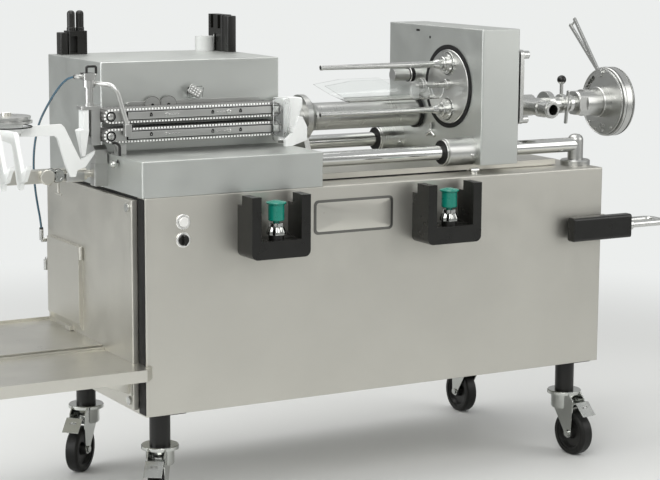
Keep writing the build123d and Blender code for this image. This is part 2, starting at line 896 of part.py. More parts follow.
def upper_belt_beam():
    back = step_depth - seat_gap
    front = back - carrier_thickness
    beam = belt_beam(upper_belt_z, front)
    low = upper_belt_z - beam_height / 2
    plate = block((carrier_left, carrier_right), (front, back), (low, upper_belt_z + carrier_above))
    plate = fillet(plate.edges().filter_by(Axis.Y), 6)
    stud_z = cabinet_top + stud_height
    slot = stud_radius + seat_gap
    for x in stud_positions:
        plate = plate - rod((x, front - 1, stud_z), Y_AXIS, carrier_thickness + 2, slot)
        plate = plate - rod((x, front - 1, stud_z - belt_lift_travel), Y_AXIS, carrier_thickness + 2, slot)
        plate = plate - block((x - slot, x + slot), (front - 1, back + 1), (stud_z - belt_lift_travel, stud_z))
    return beam + plate


def lift_studs():
    """Shoulder studs on the drive housing whose discs hold the lifting carrier."""
    studs = []
    front = step_depth - seat_gap - carrier_thickness - seat_gap
    for x in stud_positions:
        head = front - stud_disc_thickness
        profile = [(0, 3.5), (0, stud_disc_radius), (stud_disc_thickness, stud_disc_radius),
                   (stud_disc_thickness, stud_radius), (step_depth - head, stud_radius),
                   (step_depth - head, 0), (2, 0), (2, 3.5)]
        studs.append(turned(profile, (x, head, cabinet_top + stud_height), Y_AXIS))
    return studs


def lower_belt_beam():
    return solids_of(belt_beam(lower_belt_z, step_depth), *lift_studs())


def sensor_bracket():
    """A tilted clear eye over the upper belt, on an arm from the drive housing's front."""
    plate = Box(sensor_width, sensor_thickness, sensor_height)
    plate = fillet(plate.edges().filter_by(Axis.Y), 5)
    middle_z = upper_belt_z + belt_outer_radius + belt_lift_travel + 4 + sensor_height / 2
    y = belt_back - 2
    plate = Pos(sensor_x + sensor_width / 2, y, middle_z) * Rot(sensor_tilt, 0, 0) * plate
    arm = block((sensor_x + 8, sensor_x + sensor_width - 8), (y, step_depth), (middle_z + 3, middle_z + 9))
    return plate + arm


def belt_gearmotor():
    """The gearbox behind the belts' right end with its motor standing above it."""
    front = step_depth + housing_sheet
    x = (belt_right_x - belt_gearbox_width / 2, belt_right_x + belt_gearbox_width / 2)
    x = (x[0] - 8, min(x[1] - 8, drive_right - housing_sheet - 2))
    low = lower_belt_z - 38
    case = block(x, (front, front + belt_gearbox_depth), (low, low + belt_gearbox_height))
    case = fillet(case.edges().filter_by(Axis.Y), 8)
    hole = pulley_shaft_radius + running_gap
    slot = pulley_shaft_radius + seat_gap
    depth = belt_gearbox_depth * 0.7
    case = case - rod((belt_right_x, front - 1, lower_belt_z), Y_AXIS, depth, hole)
    case = case - rod((belt_right_x, front - 1, upper_belt_z), Y_AXIS, depth, slot)
    case = case - rod((belt_right_x, front - 1, upper_belt_z + belt_lift_travel), Y_AXIS, depth, slot)
    case = case - block((belt_right_x - slot, belt_right_x + slot), (front - 1, front - 1 + depth),
                        (upper_belt_z, upper_belt_z + belt_lift_travel))
    motor = rod((x[0], front + belt_gearbox_depth / 2 + 20, low + belt_gearbox_height * 0.6), -X_AXIS,
                belt_motor_length, belt_motor_radius)
    return case + motor


# Casing brake and guard

def casing_brake():
    z = (brake_low, work_z + brake_half_height)
    body = block((brake_left, brake_right), (brake_front, brake_front + brake_width), z)
    body = fillet(body.edges().filter_by(Axis.X), 8)
    waist = rod((brake_right + brake_waist_radius - brake_waist_depth, brake_front - 1, work_z), Y_AXIS,
                brake_width + 2, brake_waist_radius)
    body = body - waist
    for side in (brake_front - brake_waist_radius + brake_waist_depth,
                 brake_front + brake_width + brake_waist_radius - brake_waist_depth):
        body = body - rod((brake_left + brake_length / 2, side, z[0] - 1), Z_AXIS, 2 * brake_half_height + 2,
                          brake_waist_radius)
    bore = [(0, 0), (0, brake_bore_radius), (brake_length * 0.7, brake_bore_radius),
            (brake_length + 1, brake_flare), (brake_length + 1, 0)]
    body = body - turned(bore, (brake_left, work_y, work_z), X_AXIS)
    return solids_of(body, brake_foot())


def brake_foot():
    """The angled foot that carries the brake from the step housing's top."""
    y = guard_front_y() - seat_gap - brake_foot_thickness
    left = brake_left - 6
    outline = [(left, step_top), (step_right - 8, step_top), (brake_right, step_top + 14),
               (brake_right, work_z - 22), (brake_right - 14, work_z + 4), (brake_right - 26, work_z + 4),
               (brake_right - 34, work_z - 30), (left, step_top + 16)]
    plane = Plane(origin=(0, y + brake_foot_thickness, 0), x_dir=(1, 0, 0), z_dir=(0, -1, 0))
    plate = slab(outline, plane, brake_foot_thickness)
    link = block((guard_left + guard_length + 1, brake_right - 8), (y, brake_front + brake_waist_depth + 3),
                 (work_z - 36, work_z - 24))
    return plate + link


def guard_front_y():
    return belt_front - cheek_thickness - seat_gap - guard_thickness


def clear_guards():
    """The clear cover over the belts' right end, on two bosses at the brake's left edge."""
    x = (guard_left, guard_left + guard_length)
    z = (work_z - guard_drop, work_z - guard_drop + guard_height)
    front = guard_front_y()
    plate = block(x, (front, front + guard_thickness), z)
    plate = fillet(plate.edges().filter_by(Axis.Y), 7)
    for boss_z in (work_z - brake_half_height + 8, work_z + brake_half_height - 8):
        boss = rod((brake_left + guard_boss_radius + 1, front, boss_z), Y_AXIS, brake_front - front,
                   guard_boss_radius)
        plate = plate + boss
    return solids_of(plate, sensor_bracket())


# Carriage

def carriage_holes(shell, x, length):
    """Cuts the openings for both guide rods through a wall of the carriage."""
    for y in (front_rod_y, rear_rod_y):
        shell = shell - rod((x, y, rod_z), X_AXIS, length, rod_radius + 2)
    return shell


def turret_housing():
    shell = shelled((carriage_x, carriage_right), (carriage_front, carriage_back),
                    (carriage_low, carriage_top), housing_sheet, housing_bend)
    through = 2 * housing_sheet + 2
    shell = shell - rod((carriage_x - 1, work_y, turret_z), X_AXIS, through, disc_radius + seat_gap)
    shell = shell - rod((carriage_x - 1, tube_y, tube_z), X_AXIS, through, tube_radius + 1)
    for y in (front_rod_y, rear_rod_y):
        shell = shell - rod((carriage_x - 1, y, rod_z), X_AXIS, sleeve_inside + 2, sleeve_radius)
    shell = carriage_holes(shell, carriage_right - through, through + 2)
    shell = shell - rod((carriage_right - through, work_y, work_z), X_AXIS, through + 2, pipe_radius)
    rim = 14.0
    shaft_y = work_y
    bearing = rod((disc_back_x + seat_gap, shaft_y, turret_z), X_AXIS, rim, disc_shaft_radius + 14,
                  disc_shaft_radius + running_gap)
    web = block((disc_back_x + seat_gap + 4, disc_back_x + seat_gap + rim),
                (carriage_front + 1, shaft_y - disc_shaft_radius - 8), (turret_z - 12, turret_z + 12))
    return shell + bearing + web


def guide_sleeves():
    """Bearing sleeves on both rods and the bushing above the tube, through the left wall."""
    found = []
    for y, length in ((front_rod_y, front_sleeve_length), (rear_rod_y, rear_sleeve_length)):
        sleeve = rod((carriage_x - length, y, rod_z), X_AXIS, length + sleeve_inside, sleeve_radius,
                     rod_radius + running_gap)
        sleeve = chamfer(sleeve.edges().group_by(Axis.X)[0], 1.5)
        found.append(sleeve)
    found.append(rod((carriage_x - bushing_length, bushing_y, cabinet_top + bushing_height), X_AXIS,
                     bushing_length, bushing_radius))
    return solids_of(*found)


def carriage_seals():
    """The dark rings: wipers on the rods, the tube's seal, the bushing's ring and the disc's seal."""
    found = []
    for y, length in ((front_rod_y, front_sleeve_length), (rear_rod_y, rear_sleeve_length)):
        found.append(rod((carriage_x - length - wiper_length, y, rod_z), X_AXIS, wiper_length, wiper_radius,
                         rod_radius + running_gap))
    found.append(rod((carriage_x - tube_seal_length, tube_y, tube_z), X_AXIS, tube_seal_length,
                     tube_seal_radius, tube_radius + running_gap))
    start = carriage_x - bushing_length * 0.46
    found.append(rod((start, bushing_y, cabinet_top + bushing_height), X_AXIS, bushing_ring_length,
                     bushing_ring_radius, bushing_radius))
    ring = disc_radius + seat_gap
    found.append(rod((carriage_x - seal_ring_proud, work_y, turret_z), X_AXIS, seal_ring_proud,
                     ring + seal_ring_width, ring))
    return solids_of(*found, pivot_gasket_frame())


def turret_gearmotor():
    """The gearbox that turns the disc and its motor, kept clear of tube and feed pipe."""
    x = (disc_back_x + 30, min(disc_back_x + 30 + gearbox_length, carriage_right - housing_sheet))
    low = work_z + pipe_radius + 6
    case = block(x, (work_y - 45, work_y - 45 + gearbox_width), (low, low + gearbox_height))
    case = fillet(case.edges().filter_by(Axis.X), 8)
    case = case - rod((x[0] - 1, work_y, turret_z), X_AXIS, gearbox_length, disc_shaft_radius + running_gap)
    motor = rod(((x[0] + x[1]) / 2 + 8, work_y + 20, low + gearbox_height), Z_AXIS,
                min(motor_length, carriage_top - low - gearbox_height - 20), motor_radius)
    motor = motor & block(x, (0, cabinet_depth), (low, carriage_top))
    wall = block((x[1] - 1, carriage_right - housing_sheet), (work_y - 30, work_y + 60), (low + 10, low + 60))
    return case + motor + wall


def inlet_valve():
    """The pivot plate on the carriage, the feed pipe, the cross stub and the clamp ring."""
    plate_x = carriage_right + pivot_gasket
    z = (cabinet_top + pivot_plate_low, cabinet_top + pivot_plate_low + pivot_plate_height)
    plate = block((plate_x, pivot_face_x), (pivot_plate_front, pivot_plate_back), z)
    plate = fillet(plate.edges().filter_by(Axis.X), 12)
    start = disc_back_x + seat_gap
    outline = [(0, pipe_bore_radius), (0, pipe_radius), (valve_x - valve_body_length / 2 - start, pipe_radius),
               (valve_x - valve_body_length / 2 - start, valve_body_radius),
               (valve_x + valve_body_length / 2 - start, valve_body_radius),
               (valve_x + valve_body_length / 2 - start, pipe_radius),
               (clamp_x - start, pipe_radius), (clamp_x - start, clamp_radius),
               (clamp_x + clamp_length - start, clamp_radius), (clamp_x + clamp_length - start, pipe_radius),
               (pipe_ring_x - start, pipe_radius), (pipe_ring_x - start, pipe_ring_radius),
               (pipe_ring_x + pipe_ring_length - start, pipe_ring_radius),
               (pipe_ring_x + pipe_ring_length - start, pipe_radius),
               (pipe_end_x - start, pipe_radius), (pipe_end_x - start, pipe_bore_radius)]
    pipe = turned(outline, (start, work_y, work_z), X_AXIS)
    stub = rod((valve_x, valve_stub_front, work_z), Y_AXIS, work_y - valve_stub_front, valve_stub_radius)
    ring = rod((valve_x, (valve_stub_front + valve_stub_back) / 2 - 8, work_z), Y_AXIS, 12, valve_ring_radius)
    collar = rod((valve_x, valve_stub_front + 6, work_z), Y_AXIS, 8, valve_ring_radius)
    bore = rod((valve_x, valve_stub_front - 1, work_z), Y_AXIS, work_y - valve_stub_front, valve_bore_radius)
    through = rod((start - 1, work_y, work_z), X_AXIS, pipe_end_x - start + 2, pipe_bore_radius)
    whole = plate + pipe + stub + ring + collar - bore - through
    for y, turn in ((pivot_plate_front + 16, 1), (pivot_plate_back - 16, -1)):
        for knob_z in (z[0] + 12, z[1] - 14):
            whole = whole + rod((pivot_face_x, y, knob_z), X_AXIS, pivot_knob_length, pivot_knob_radius)
    leg_top = Vector(pivot_face_x - pivot_plate_thickness / 2, work_y - support_leg_side, z[0])
    foot = Vector(carriage_right, leg_top.Y - support_leg_slant, z[0] - support_leg_drop)
    leg_end = foot + X_AXIS * (2 * support_leg_radius)
    whole = whole + rod(tuple(leg_top), leg_end - leg_top, (leg_end - leg_top).length, support_leg_radius)
    return whole + rod(tuple(foot), X_AXIS, 3 * support_leg_radius, 2 * support_leg_radius)


def pivot_gasket_frame():
    z = (cabinet_top + pivot_plate_low, cabinet_top + pivot_plate_low + pivot_plate_height)
    frame = block((carriage_right, carriage_right + pivot_gasket), (pivot_plate_front + 6, pivot_plate_back - 6),
                  (z[0] + 6, z[1] - 6))
    hole = rod((carriage_right - 1, work_y, work_z), X_AXIS, pivot_gasket + 2, pipe_radius)
    return frame - hole


def inlet_handle():
    """A flat bar handle on a hub that turns on the feed pipe, with a knobbed rod."""
    hub = rod((handle_x, work_y, work_z), X_AXIS, handle_hub_length, handle_hub_radius,
              pipe_radius + running_gap)
    middle_x = handle_x + handle_hub_length / 2
    bar = block((middle_x - handle_bar_thickness / 2, middle_x + handle_bar_thickness / 2),
                (work_y - handle_hub_radius - handle_bar_width + 3, work_y - handle_hub_radius + 3),
                (work_z - handle_bar_length * 0.55, work_z + handle_bar_length * 0.45))
    bar = fillet(bar.edges().filter_by(Axis.X), handle_bar_width * 0.3)
    bar = Pos(middle_x, work_y, work_z) * Rot(6, 0, 0) * Pos(-middle_x, -work_y, -work_z) * bar
    start = Vector(middle_x, work_y, work_z + handle_hub_radius - 3)
    lever = rod(tuple(start), Z_AXIS, handle_rod_length, handle_rod_radius)
    knob = Pos(middle_x, work_y, start.Z + handle_rod_length) * Sphere(handle_knob_radius)
    return hub + bar + lever + knob


# Coupling to the filler

def coupling_flange():
    """The union that telescopes on the feed pipe, its collar and the grooved coupling disc."""
    bore = pipe_radius + running_gap
    start = union_x
    profile = [(0, bore), (0, union_radius - 4), (4, union_radius), (coupling_x - start, union_radius),
               (coupling_x - start, coupling_radius - coupling_rim),
               (coupling_x - start + coupling_rim_depth, coupling_radius - coupling_rim),
               (coupling_x - start + coupling_rim_depth, coupling_radius - 2),
               (coupling_x - start + coupling_rim_depth + 2, coupling_radius),
               (coupling_x - start + coupling_thickness - 2 * coupling_groove, coupling_radius),
               (coupling_x - start + coupling_thickness - 2 * coupling_groove,
                coupling_radius - coupling_groove_depth),
               (coupling_x - start + coupling_thickness - coupling_groove,
                coupling_radius - coupling_groove_depth),
               (coupling_x - start + coupling_thickness - coupling_groove, coupling_radius),
               (coupling_x - start + coupling_thickness, coupling_radius - 2),
               (coupling_x - start + coupling_thickness, coupling_seat_radius),
               (coupling_x - start + coupling_thickness - coupling_seat_depth, coupling_seat_radius),
               (coupling_x - start + coupling_thickness - coupling_seat_depth, bore)]
    body = turned(profile, (start, work_y, work_z), X_AXIS)
    collar = rod((coupling_x - union_collar_length, work_y, work_z), X_AXIS, union_collar_length,
                 union_collar_radius, union_radius - 1)
    body = body + chamfer(collar.edges().group_by(Axis.X)[0], 2)
    half = union_flats / 2
    flats = block((start - 1, start + union_flat_length), (work_y - 100, work_y + 100),
                  (work_z - 100, work_z + 100))
    keep = block((start - 2, start + union_flat_length + 1), (work_y - half, work_y + half),
                 (work_z - half, work_z + half))
    body = body - (flats - keep)
    for step in range(5):
        angle = radians(125 + 9 * step)
        hole_y = work_y - kidney_radius * cos(angle)
        hole_z = work_z + kidney_radius * sin(angle)
        body = body - rod((coupling_x - 1, hole_y, hole_z), X_AXIS, coupling_thickness * 0.4, kidney_width / 2)
    root_y, root_z = lever_root()
    return body - rod((coupling_x - 1, root_y, root_z), X_AXIS, coupling_thickness / 2,
                      lever_pin_radius + running_gap)


def lever_root():
    """Where the lever's pin sits on the disc's face."""
    angle = radians(82)
    return (work_y + (lever_root_radius - 1) * cos(angle), work_z + (lever_root_radius - 1) * sin(angle))


def coupling_lever():
    """Two flat bars that open from one eye, with a round grip bar between their ends."""
    root_y, root_z = lever_root()
    x = (coupling_x - seat_gap - lever_bar_thickness, coupling_x - seat_gap)
    eye = rod((x[0], root_y, root_z), X_AXIS, lever_bar_thickness, lever_pin_radius + 7)
    pin = rod((x[0], root_y, root_z), X_AXIS, lever_bar_thickness + coupling_thickness / 3, lever_pin_radius)
    lever = eye + pin
    spread = degrees(atan2(lever_spread, 2 * lever_length))
    for side in (-1, 1):
        bar = block(x, (root_y - lever_bar_width / 2, root_y + lever_bar_width / 2),
                    (root_z, root_z + lever_length))
        turn = Pos(0, root_y, root_z) * Rot(-lever_lean + side * spread, 0, 0) * Pos(0, -root_y, -root_z)
        lever = lever + turn * bar
    lean = radians(lever_lean)
    grip_y = root_y + (lever_length - 8) * sin(lean)
    grip_z = root_z + (lever_length - 8) * cos(lean)
    across = Vector(0, cos(lean), -sin(lean))
    start = Vector((x[0] + x[1]) / 2, grip_y, grip_z) - across * (lever_spread / 2)
    return lever + rod(tuple(start), across, lever_spread, lever_bar_thickness / 2 - 0.2)


# Turret

def turret_disc():
    """The disc with two bearing bores for the horns, its shaft and the small pins by each nut."""
    profile = [(0, 0), (0, disc_radius - 2), (2, disc_radius), (disc_thickness, disc_radius),
               (disc_thickness, disc_shaft_radius), (disc_thickness + disc_shaft_length + 40, disc_shaft_radius),
               (disc_thickness + disc_shaft_length + 40, 0)]
    disc = turned(profile, (disc_face_x, work_y, turret_z), X_AXIS)
    for way in (-1, 1):
        disc = disc - rod((disc_face_x - 1, work_y, turret_z + way * horn_offset), X_AXIS,
                          disc_thickness + 2, horn_root_radius + running_gap)
        pin = rod((disc_face_x - disc_pin_length, work_y - disc_pin_offset, turret_z + way * horn_offset),
                  X_AXIS, disc_pin_length + 1, disc_pin_radius)
        disc = disc + pin
    return solids_of(disc, centre_arm())


def centre_arm():
    """The central tube, its collar, the elbow block that carries the trough, and two wire hoops."""
    z = turret_z + arm_tube_rise
    collar = rod((disc_face_x - arm_collar_length, work_y, z), X_AXIS, arm_collar_length, arm_collar_radius)
    collar = chamfer(collar.edges().group_by(Axis.X)[0], 2)
    tube = rod((arm_left_x, work_y, z), X_AXIS, disc_face_x - arm_left_x, arm_tube_radius)
    half = arm_block_width / 2
    inner = trough_radius - trough_wall
    trough_seat = turret_z - (inner ** 2 - half ** 2) ** 0.5 + seat_gap
    drop = block((arm_left_x - arm_block_length / 2, arm_left_x + arm_block_length / 2),
                 (work_y - half, work_y + half), (trough_seat, z + arm_tube_radius + 2))
    drop = fillet(drop.edges().filter_by(Axis.Y), 4)
    arm = collar + tube + drop
    floor_z = turret_z - trough_radius + trough_wall + 2
    points = [(-arm_plate_half_width * 0.7, 0), (0, -arm_plate_half_height * 0.5),
              (arm_plate_half_width * 0.7, 0), (0, z - floor_z)]
    plane = Plane(origin=(arm_plate_x, work_y, floor_z + 9), x_dir=(0, 1, 0), z_dir=(1, 0, 0))
    arm = arm + slab(points, plane, arm_plate_thickness)
    for x in (arm_left_x + 18, arm_left_x + 27):
        hoop = Plane(origin=(x, work_y, z), x_dir=(0, 1, 0), z_dir=(1, 0, 0)).location * Torus(
            hoop_radius, hoop_wire_radius)
        spoke = rod((x, work_y, z), -Z_AXIS, hoop_radius, hoop_wire_radius)
        arm = arm + hoop + spoke
    return arm


def casing_trough():
    """A clear U-shaped trough with a slanted mouth and a raised crest."""
    inner = trough_radius - trough_wall
    outer_cut = rod((horn_tip_x - 4, work_y, turret_z), X_AXIS, trough_right_x - horn_tip_x + 4,
                    trough_radius, inner)
    lower = block((horn_tip_x - 10, trough_right_x + 10), (0, cabinet_depth), (0, turret_z))
    trough = outer_cut & lower
    for side in (-1, 1):
        middle = work_y + side * (trough_radius - trough_wall / 2)
        wall = block((horn_tip_x - 4, trough_right_x), (middle - trough_wall / 2, middle + trough_wall / 2),
                     (turret_z - 0.5, turret_z + trough_crest_height))
        trough = trough + wall
    edge = turret_z + trough_edge_height
    crest = turret_z + trough_crest_height
    low = turret_z - trough_radius
    outline = [(horn_tip_x - 4, low + 50), (horn_tip_x + 45, low + 22), (horn_tip_x + 91, low - 1),
               (trough_right_x, low - 1), (trough_right_x, edge), (trough_crest_right + 40, edge),
               (trough_crest_right, crest), (trough_crest_left, crest), (horn_tip_x + 20, edge + 14)]
    plane = Plane(origin=(0, work_y + 2 * trough_radius, 0), x_dir=(1, 0, 0), z_dir=(0, -1, 0))
    return trough & slab(outline, plane, 4 * trough_radius)


def horn(way):
    """A filling horn: the tapered tube with its cone and root, and the star nut on its collar."""
    z = turret_z + way * horn_offset
    face = disc_face_x - seat_gap
    collar_start = face - horn_collar_length
    root_end = disc_back_x
    start = horn_tip_x
    profile = [(0, horn_bore_tip), (0, horn_tip_radius), (7, horn_tip_radius), (8, horn_tip_radius - 0.7),
               (collar_start - horn_cone_length - start, horn_base_radius),
               (collar_start - start, horn_collar_radius), (face - start, horn_collar_radius),
               (face - start, horn_root_radius), (root_end - start, horn_root_radius),
               (root_end - start, horn_bore_base + 3), (face - start, horn_bore_base)]
    tube = turned(profile, (start, work_y, z), X_AXIS)
    nut = rod((face - nut_thickness, work_y, z), X_AXIS, nut_thickness, nut_radius, horn_collar_radius)
    for lobe in range(nut_lobes):
        angle = radians(90 + 360 / nut_lobes * (lobe + 0.5))
        reach = nut_radius + nut_notch_radius * 0.35
        nut = nut - rod((face - nut_thickness - 1, work_y + reach * cos(angle), z + reach * sin(angle)),
                        X_AXIS, nut_thickness * 0.66, nut_notch_radius)
    hub = rod((face - nut_thickness - nut_hub_length, work_y, z), X_AXIS, nut_hub_length, nut_hub_radius,
              horn_collar_radius)
    hub = chamfer(hub.edges().group_by(Axis.X)[0], 1.5)
    return solids_of(tube, nut + hub)


# Palm buttons, guards and controls

def palm_guard(x):
    """A moulded guard: a tray with a sloped floor, a low front rim, high sides and stepped notches."""
    left = x - palm_width / 2
    right = x + palm_width / 2
    top = palm_low + palm_height
    plane = Plane(origin=(0, 0, 0), x_dir=(1, 0, 0), z_dir=(0, -1, 0))
    front = Pos(x, 0) * RectangleRounded(palm_width, palm_height, palm_corner)
    body = extrude(plane * Pos(0, palm_low + palm_height / 2) * front, palm_depth)
    body = body + block((left, right), (-palm_depth, 0), (palm_low + palm_height / 2, top))
    floor_front = palm_low + palm_front_rim
    floor_back = palm_low + palm_floor
    inside = (left + palm_wall, right - palm_wall)
    outline = [(1, floor_back), (-palm_depth * 0.8, floor_front - 6), (-palm_depth * 0.8, top + 1), (1, top + 1)]
    side = Plane(origin=(inside[0], 0, 0), x_dir=(0, 1, 0), z_dir=(1, 0, 0))
    body = body - slab(outline, side, inside[1] - inside[0])
    body = body - block((inside[0] + 4, inside[1] - 4), (-palm_depth - 1, 1), (floor_front, top + 1))
    notch = block((left - 1, right + 1), (-palm_notch_depth, 1), (top - palm_notch_drop, top + 1))
    body = body - notch
    seat_z = palm_seat_z()
    seat = rod((x, palm_button_y, palm_low + palm_front_rim - 20), Z_AXIS, seat_z - palm_low - palm_front_rim + 20,
               palm_base_radius + 3)
    bore = rod((x, palm_button_y, seat_z - 24), Z_AXIS, 25, palm_shaft_radius + running_gap)
    return body + seat - bore


def palm_seat_z():
    return palm_low + palm_floor + 2


def palm_guards():
    """Both guards, with the star nut of each button on the guard's floor."""
    found = []
    for x in palm_positions:
        found.append(palm_guard(x))
        found.append(palm_nut(x))
    return solids_of(*found)


def palm_nut(x):
    """The lobed nut that clamps the button's sleeve on the guard."""
    low = palm_seat_z()
    nut = rod((x, palm_button_y, low), Z_AXIS, palm_base_height, palm_base_radius,
              palm_shaft_radius + running_gap)
    for lobe in range(6):
        angle = radians(60 * lobe)
        reach = palm_base_radius + 1
        nut = nut - rod((x + reach * cos(angle), palm_button_y + reach * sin(angle), low + 6), Z_AXIS,
                        palm_base_height, 5)
    return nut


def palm_button(x):
    """A mushroom button: dished cap, stem skirt and the shaft that slides in nut and guard."""
    low = palm_seat_z() + palm_base_height + palm_press + seat_gap
    skirt_top = low + palm_stem_height
    shaft_low = palm_seat_z() - 22 + palm_press
    profile = [(shaft_low - low, 0), (shaft_low - low, palm_shaft_radius), (0, palm_shaft_radius),
               (0, palm_stem_radius - 2), (2, palm_stem_radius), (skirt_top - low, palm_stem_radius),
               (skirt_top - low + 3, palm_cap_radius - 1), (skirt_top - low + 5, palm_cap_radius),
               (skirt_top - low + 7, palm_cap_radius - 1), (skirt_top - low + palm_cap_rise, palm_cap_radius * 0.7),
               (skirt_top - low + palm_cap_rise + 2, palm_cap_radius * 0.3),
               (skirt_top - low + palm_cap_rise + 2.3, 0)]
    return turned(profile, (x, palm_button_y, low), Z_AXIS)


def control_rings():
    """The two bezels of the controls, each with its barrel through the panel and its back nut."""
    found = []
    for z in (push_height, selector_height):
        bore = push_cap_radius + seat_gap if z == push_height else selector_radius + seat_gap
        shaft = control_barrel_radius - 4
        profile = [(-control_ring_thickness, bore), (-control_ring_thickness, control_ring_radius - 1.5),
                   (-control_ring_thickness + 1.5, control_ring_radius), (0, control_ring_radius),
                   (0, control_barrel_radius), (cabinet_sheet, control_barrel_radius),
                   (cabinet_sheet, control_barrel_radius + 3), (cabinet_sheet + 6, control_barrel_radius + 3),
                   (cabinet_sheet + 6, control_barrel_radius), (cabinet_sheet + 22, control_barrel_radius),
                   (cabinet_sheet + 22, shaft + running_gap), (0, shaft + running_gap), (0, bore)]
        found.append(turned(profile, (control_x, 0, z), Y_AXIS))
    return solids_of(*found)


def push_button():
    front = -push_cap_proud
    shaft = control_barrel_radius - 4
    profile = [(front, 0), (front, push_cap_radius - 2), (front + 2, push_cap_radius),
               (-push_travel - seat_gap, push_cap_radius), (-push_travel - seat_gap, shaft),
               (cabinet_sheet + 16, shaft), (cabinet_sheet + 16, 0)]
    return turned(profile, (control_x, 0, push_height), Y_AXIS)


def selector_knob():
    shaft = control_barrel_radius - 4
    profile = [(-8, 0), (-8, selector_radius - 1), (-7, selector_radius), (-seat_gap, selector_radius),
               (-seat_gap, shaft), (cabinet_sheet + 20, shaft), (cabinet_sheet + 20, 0)]
    knob = turned(profile, (control_x, 0, selector_height), Y_AXIS)
    half = selector_grip / 2
    grip = block((control_x - half, control_x + half), (-selector_proud, -7),
                 (selector_height - selector_radius + 1, selector_height + selector_radius - 1))
    grip = fillet(grip.edges().filter_by(Axis.Y), half * 0.8)
    return knob + grip


# Knee lever

def knee_lever():
    """A padded block on a rod that turns in a bearing at the cabinet's right end."""
    y = (knee_front - knee_thickness, knee_front)
    z = (knee_low, knee_low + knee_height)
    pad = block((knee_left, knee_left + knee_length), y, z)
    pad = fillet(pad.edges().filter_by(Axis.X), knee_bend)
    pad = chamfer(pad.faces().sort_by(Axis.X)[0].edges(), 2)
    middle_y = (y[0] + y[1]) / 2
    middle_z = (z[0] + z[1]) / 2
    pad_end = knee_left + knee_length
    path = FilletPolyline((pad_end - knee_rod_inset, middle_y, middle_z), (knee_rod_end, middle_y, middle_z),
                          (knee_rod_end, knee_pivot_y, middle_z),
                          (cabinet_length + seat_gap, knee_pivot_y, middle_z), radius=knee_corner_radius)
    section = Plane(origin=path @ 0, z_dir=path % 0) * Circle(knee_rod_radius)
    bar = sweep(section, path=path)
    collar = rod((pad_end, middle_y, middle_z), X_AXIS, knee_collar_length, knee_collar_radius)
    return pad + bar + collar


def knee_bearing():
    """The bearing block on the cabinet's right wall in which the lever's rod turns."""
    z = knee_low + knee_height / 2
    x = (cabinet_length, cabinet_length + knee_boss_length)
    housing = block(x, (knee_pivot_y - knee_boss_half, knee_pivot_y + knee_boss_half),
                    (z - knee_boss_half, z + knee_boss_half))
    housing = fillet(housing.edges().filter_by(Axis.X), knee_bend)
    return housing - rod((cabinet_length, knee_pivot_y, z), X_AXIS, knee_boss_length + 1,
                         knee_rod_radius + running_gap)


# Casters

def caster_place(name):
    """The swivel axis of a caster and the direction in which it trails."""
    x = leg_x[1] if name.endswith("right") else leg_x[0]
    y = leg_y[1] if name.startswith("rear") else leg_y[0]
    return x, y, caster_turns[name]


def placed(name, shape):
    x, y, turn = caster_place(name)
    return Pos(x, y, 0) * Rot(0, 0, turn) * shape


def leg_posts():
    """Four round legs, each with its welded plate and the kingpin of its caster."""
    found = []
    for x in leg_x:
        for y in leg_y:
            plate_low = floor_clearance - leg_plate_thickness
            plate = block((x - leg_plate / 2, x + leg_plate / 2), (y - leg_plate / 2, y + leg_plate / 2),
                          (plate_low, floor_clearance))
            post = rod((x, y, leg_bottom), Z_AXIS, plate_low - leg_bottom, leg_radius)
            pin_low = leg_bottom - seat_gap - fork_sheet - 2 - kingpin_head - seat_gap
            pin = rod((x, y, pin_low), Z_AXIS, leg_bottom - pin_low, kingpin_radius)
            head = rod((x, y, pin_low), Z_AXIS, kingpin_head, kingpin_head_radius)
            found.append(plate + post + pin + head)
    return solids_of(*found)


def fork():
    """A caster fork: pressed top with its ring, two tapering legs, the axle and the pedal's pin."""
    top = leg_bottom - seat_gap
    sheet = fork_sheet + 2
    half = wheel_width / 2 + fork_gap
    profile = [(0, kingpin_radius + running_gap), (0, fork_ring_radius - 2), (-2, fork_ring_radius),
               (-fork_ring_height, fork_ring_radius), (-fork_ring_height, fork_ring_radius - 6),
               (-sheet, fork_ring_radius - 8), (-sheet, kingpin_radius + running_gap)]
    ring = turned(profile, (0, 0, top), Z_AXIS)
    shape = ring
    for side in (-1, 1):
        with_eye = fork_leg(top - 1)
        y = half if side > 0 else -half - fork_sheet
        plane = Plane(origin=(0, y + fork_sheet, 0), x_dir=(1, 0, 0), z_dir=(0, -1, 0))
        shape = shape + extrude(plane * with_eye, fork_sheet)
    axle = rod((axle_offset, -half - fork_sheet - axle_head, wheel_radius), Y_AXIS,
               2 * (half + fork_sheet + axle_head), axle_radius)
    for y in (-half - fork_sheet - axle_head, half + fork_sheet):
        axle = axle + rod((axle_offset, y, wheel_radius), Y_AXIS, axle_head, axle_head_radius)
    shape = shape + axle
    pin = rod((pedal_pivot_u, -half - fork_sheet, pedal_pivot_z), Y_AXIS, 2 * (half + fork_sheet),
              pedal_pin_radius)
    return shape + pin


def fork_leg(top):
    """Outline of a fork leg: wide under the ring, tapering to the round eye at the axle."""
    eye = wheel_radius
    outline = [(-fork_shoulder, top), (fork_ring_radius - 6, top), (pedal_pivot_u + 9, pedal_pivot_z + 12),
               (pedal_pivot_u + 9, pedal_pivot_z - 10), (axle_offset + fork_eye_radius, eye),
               (axle_offset - fork_eye_radius, eye), (-fork_shoulder + 4, top - 34)]
    face = make_face(Polyline(*outline, close=True))
    return face + Pos(axle_offset, eye) * Circle(fork_eye_radius)


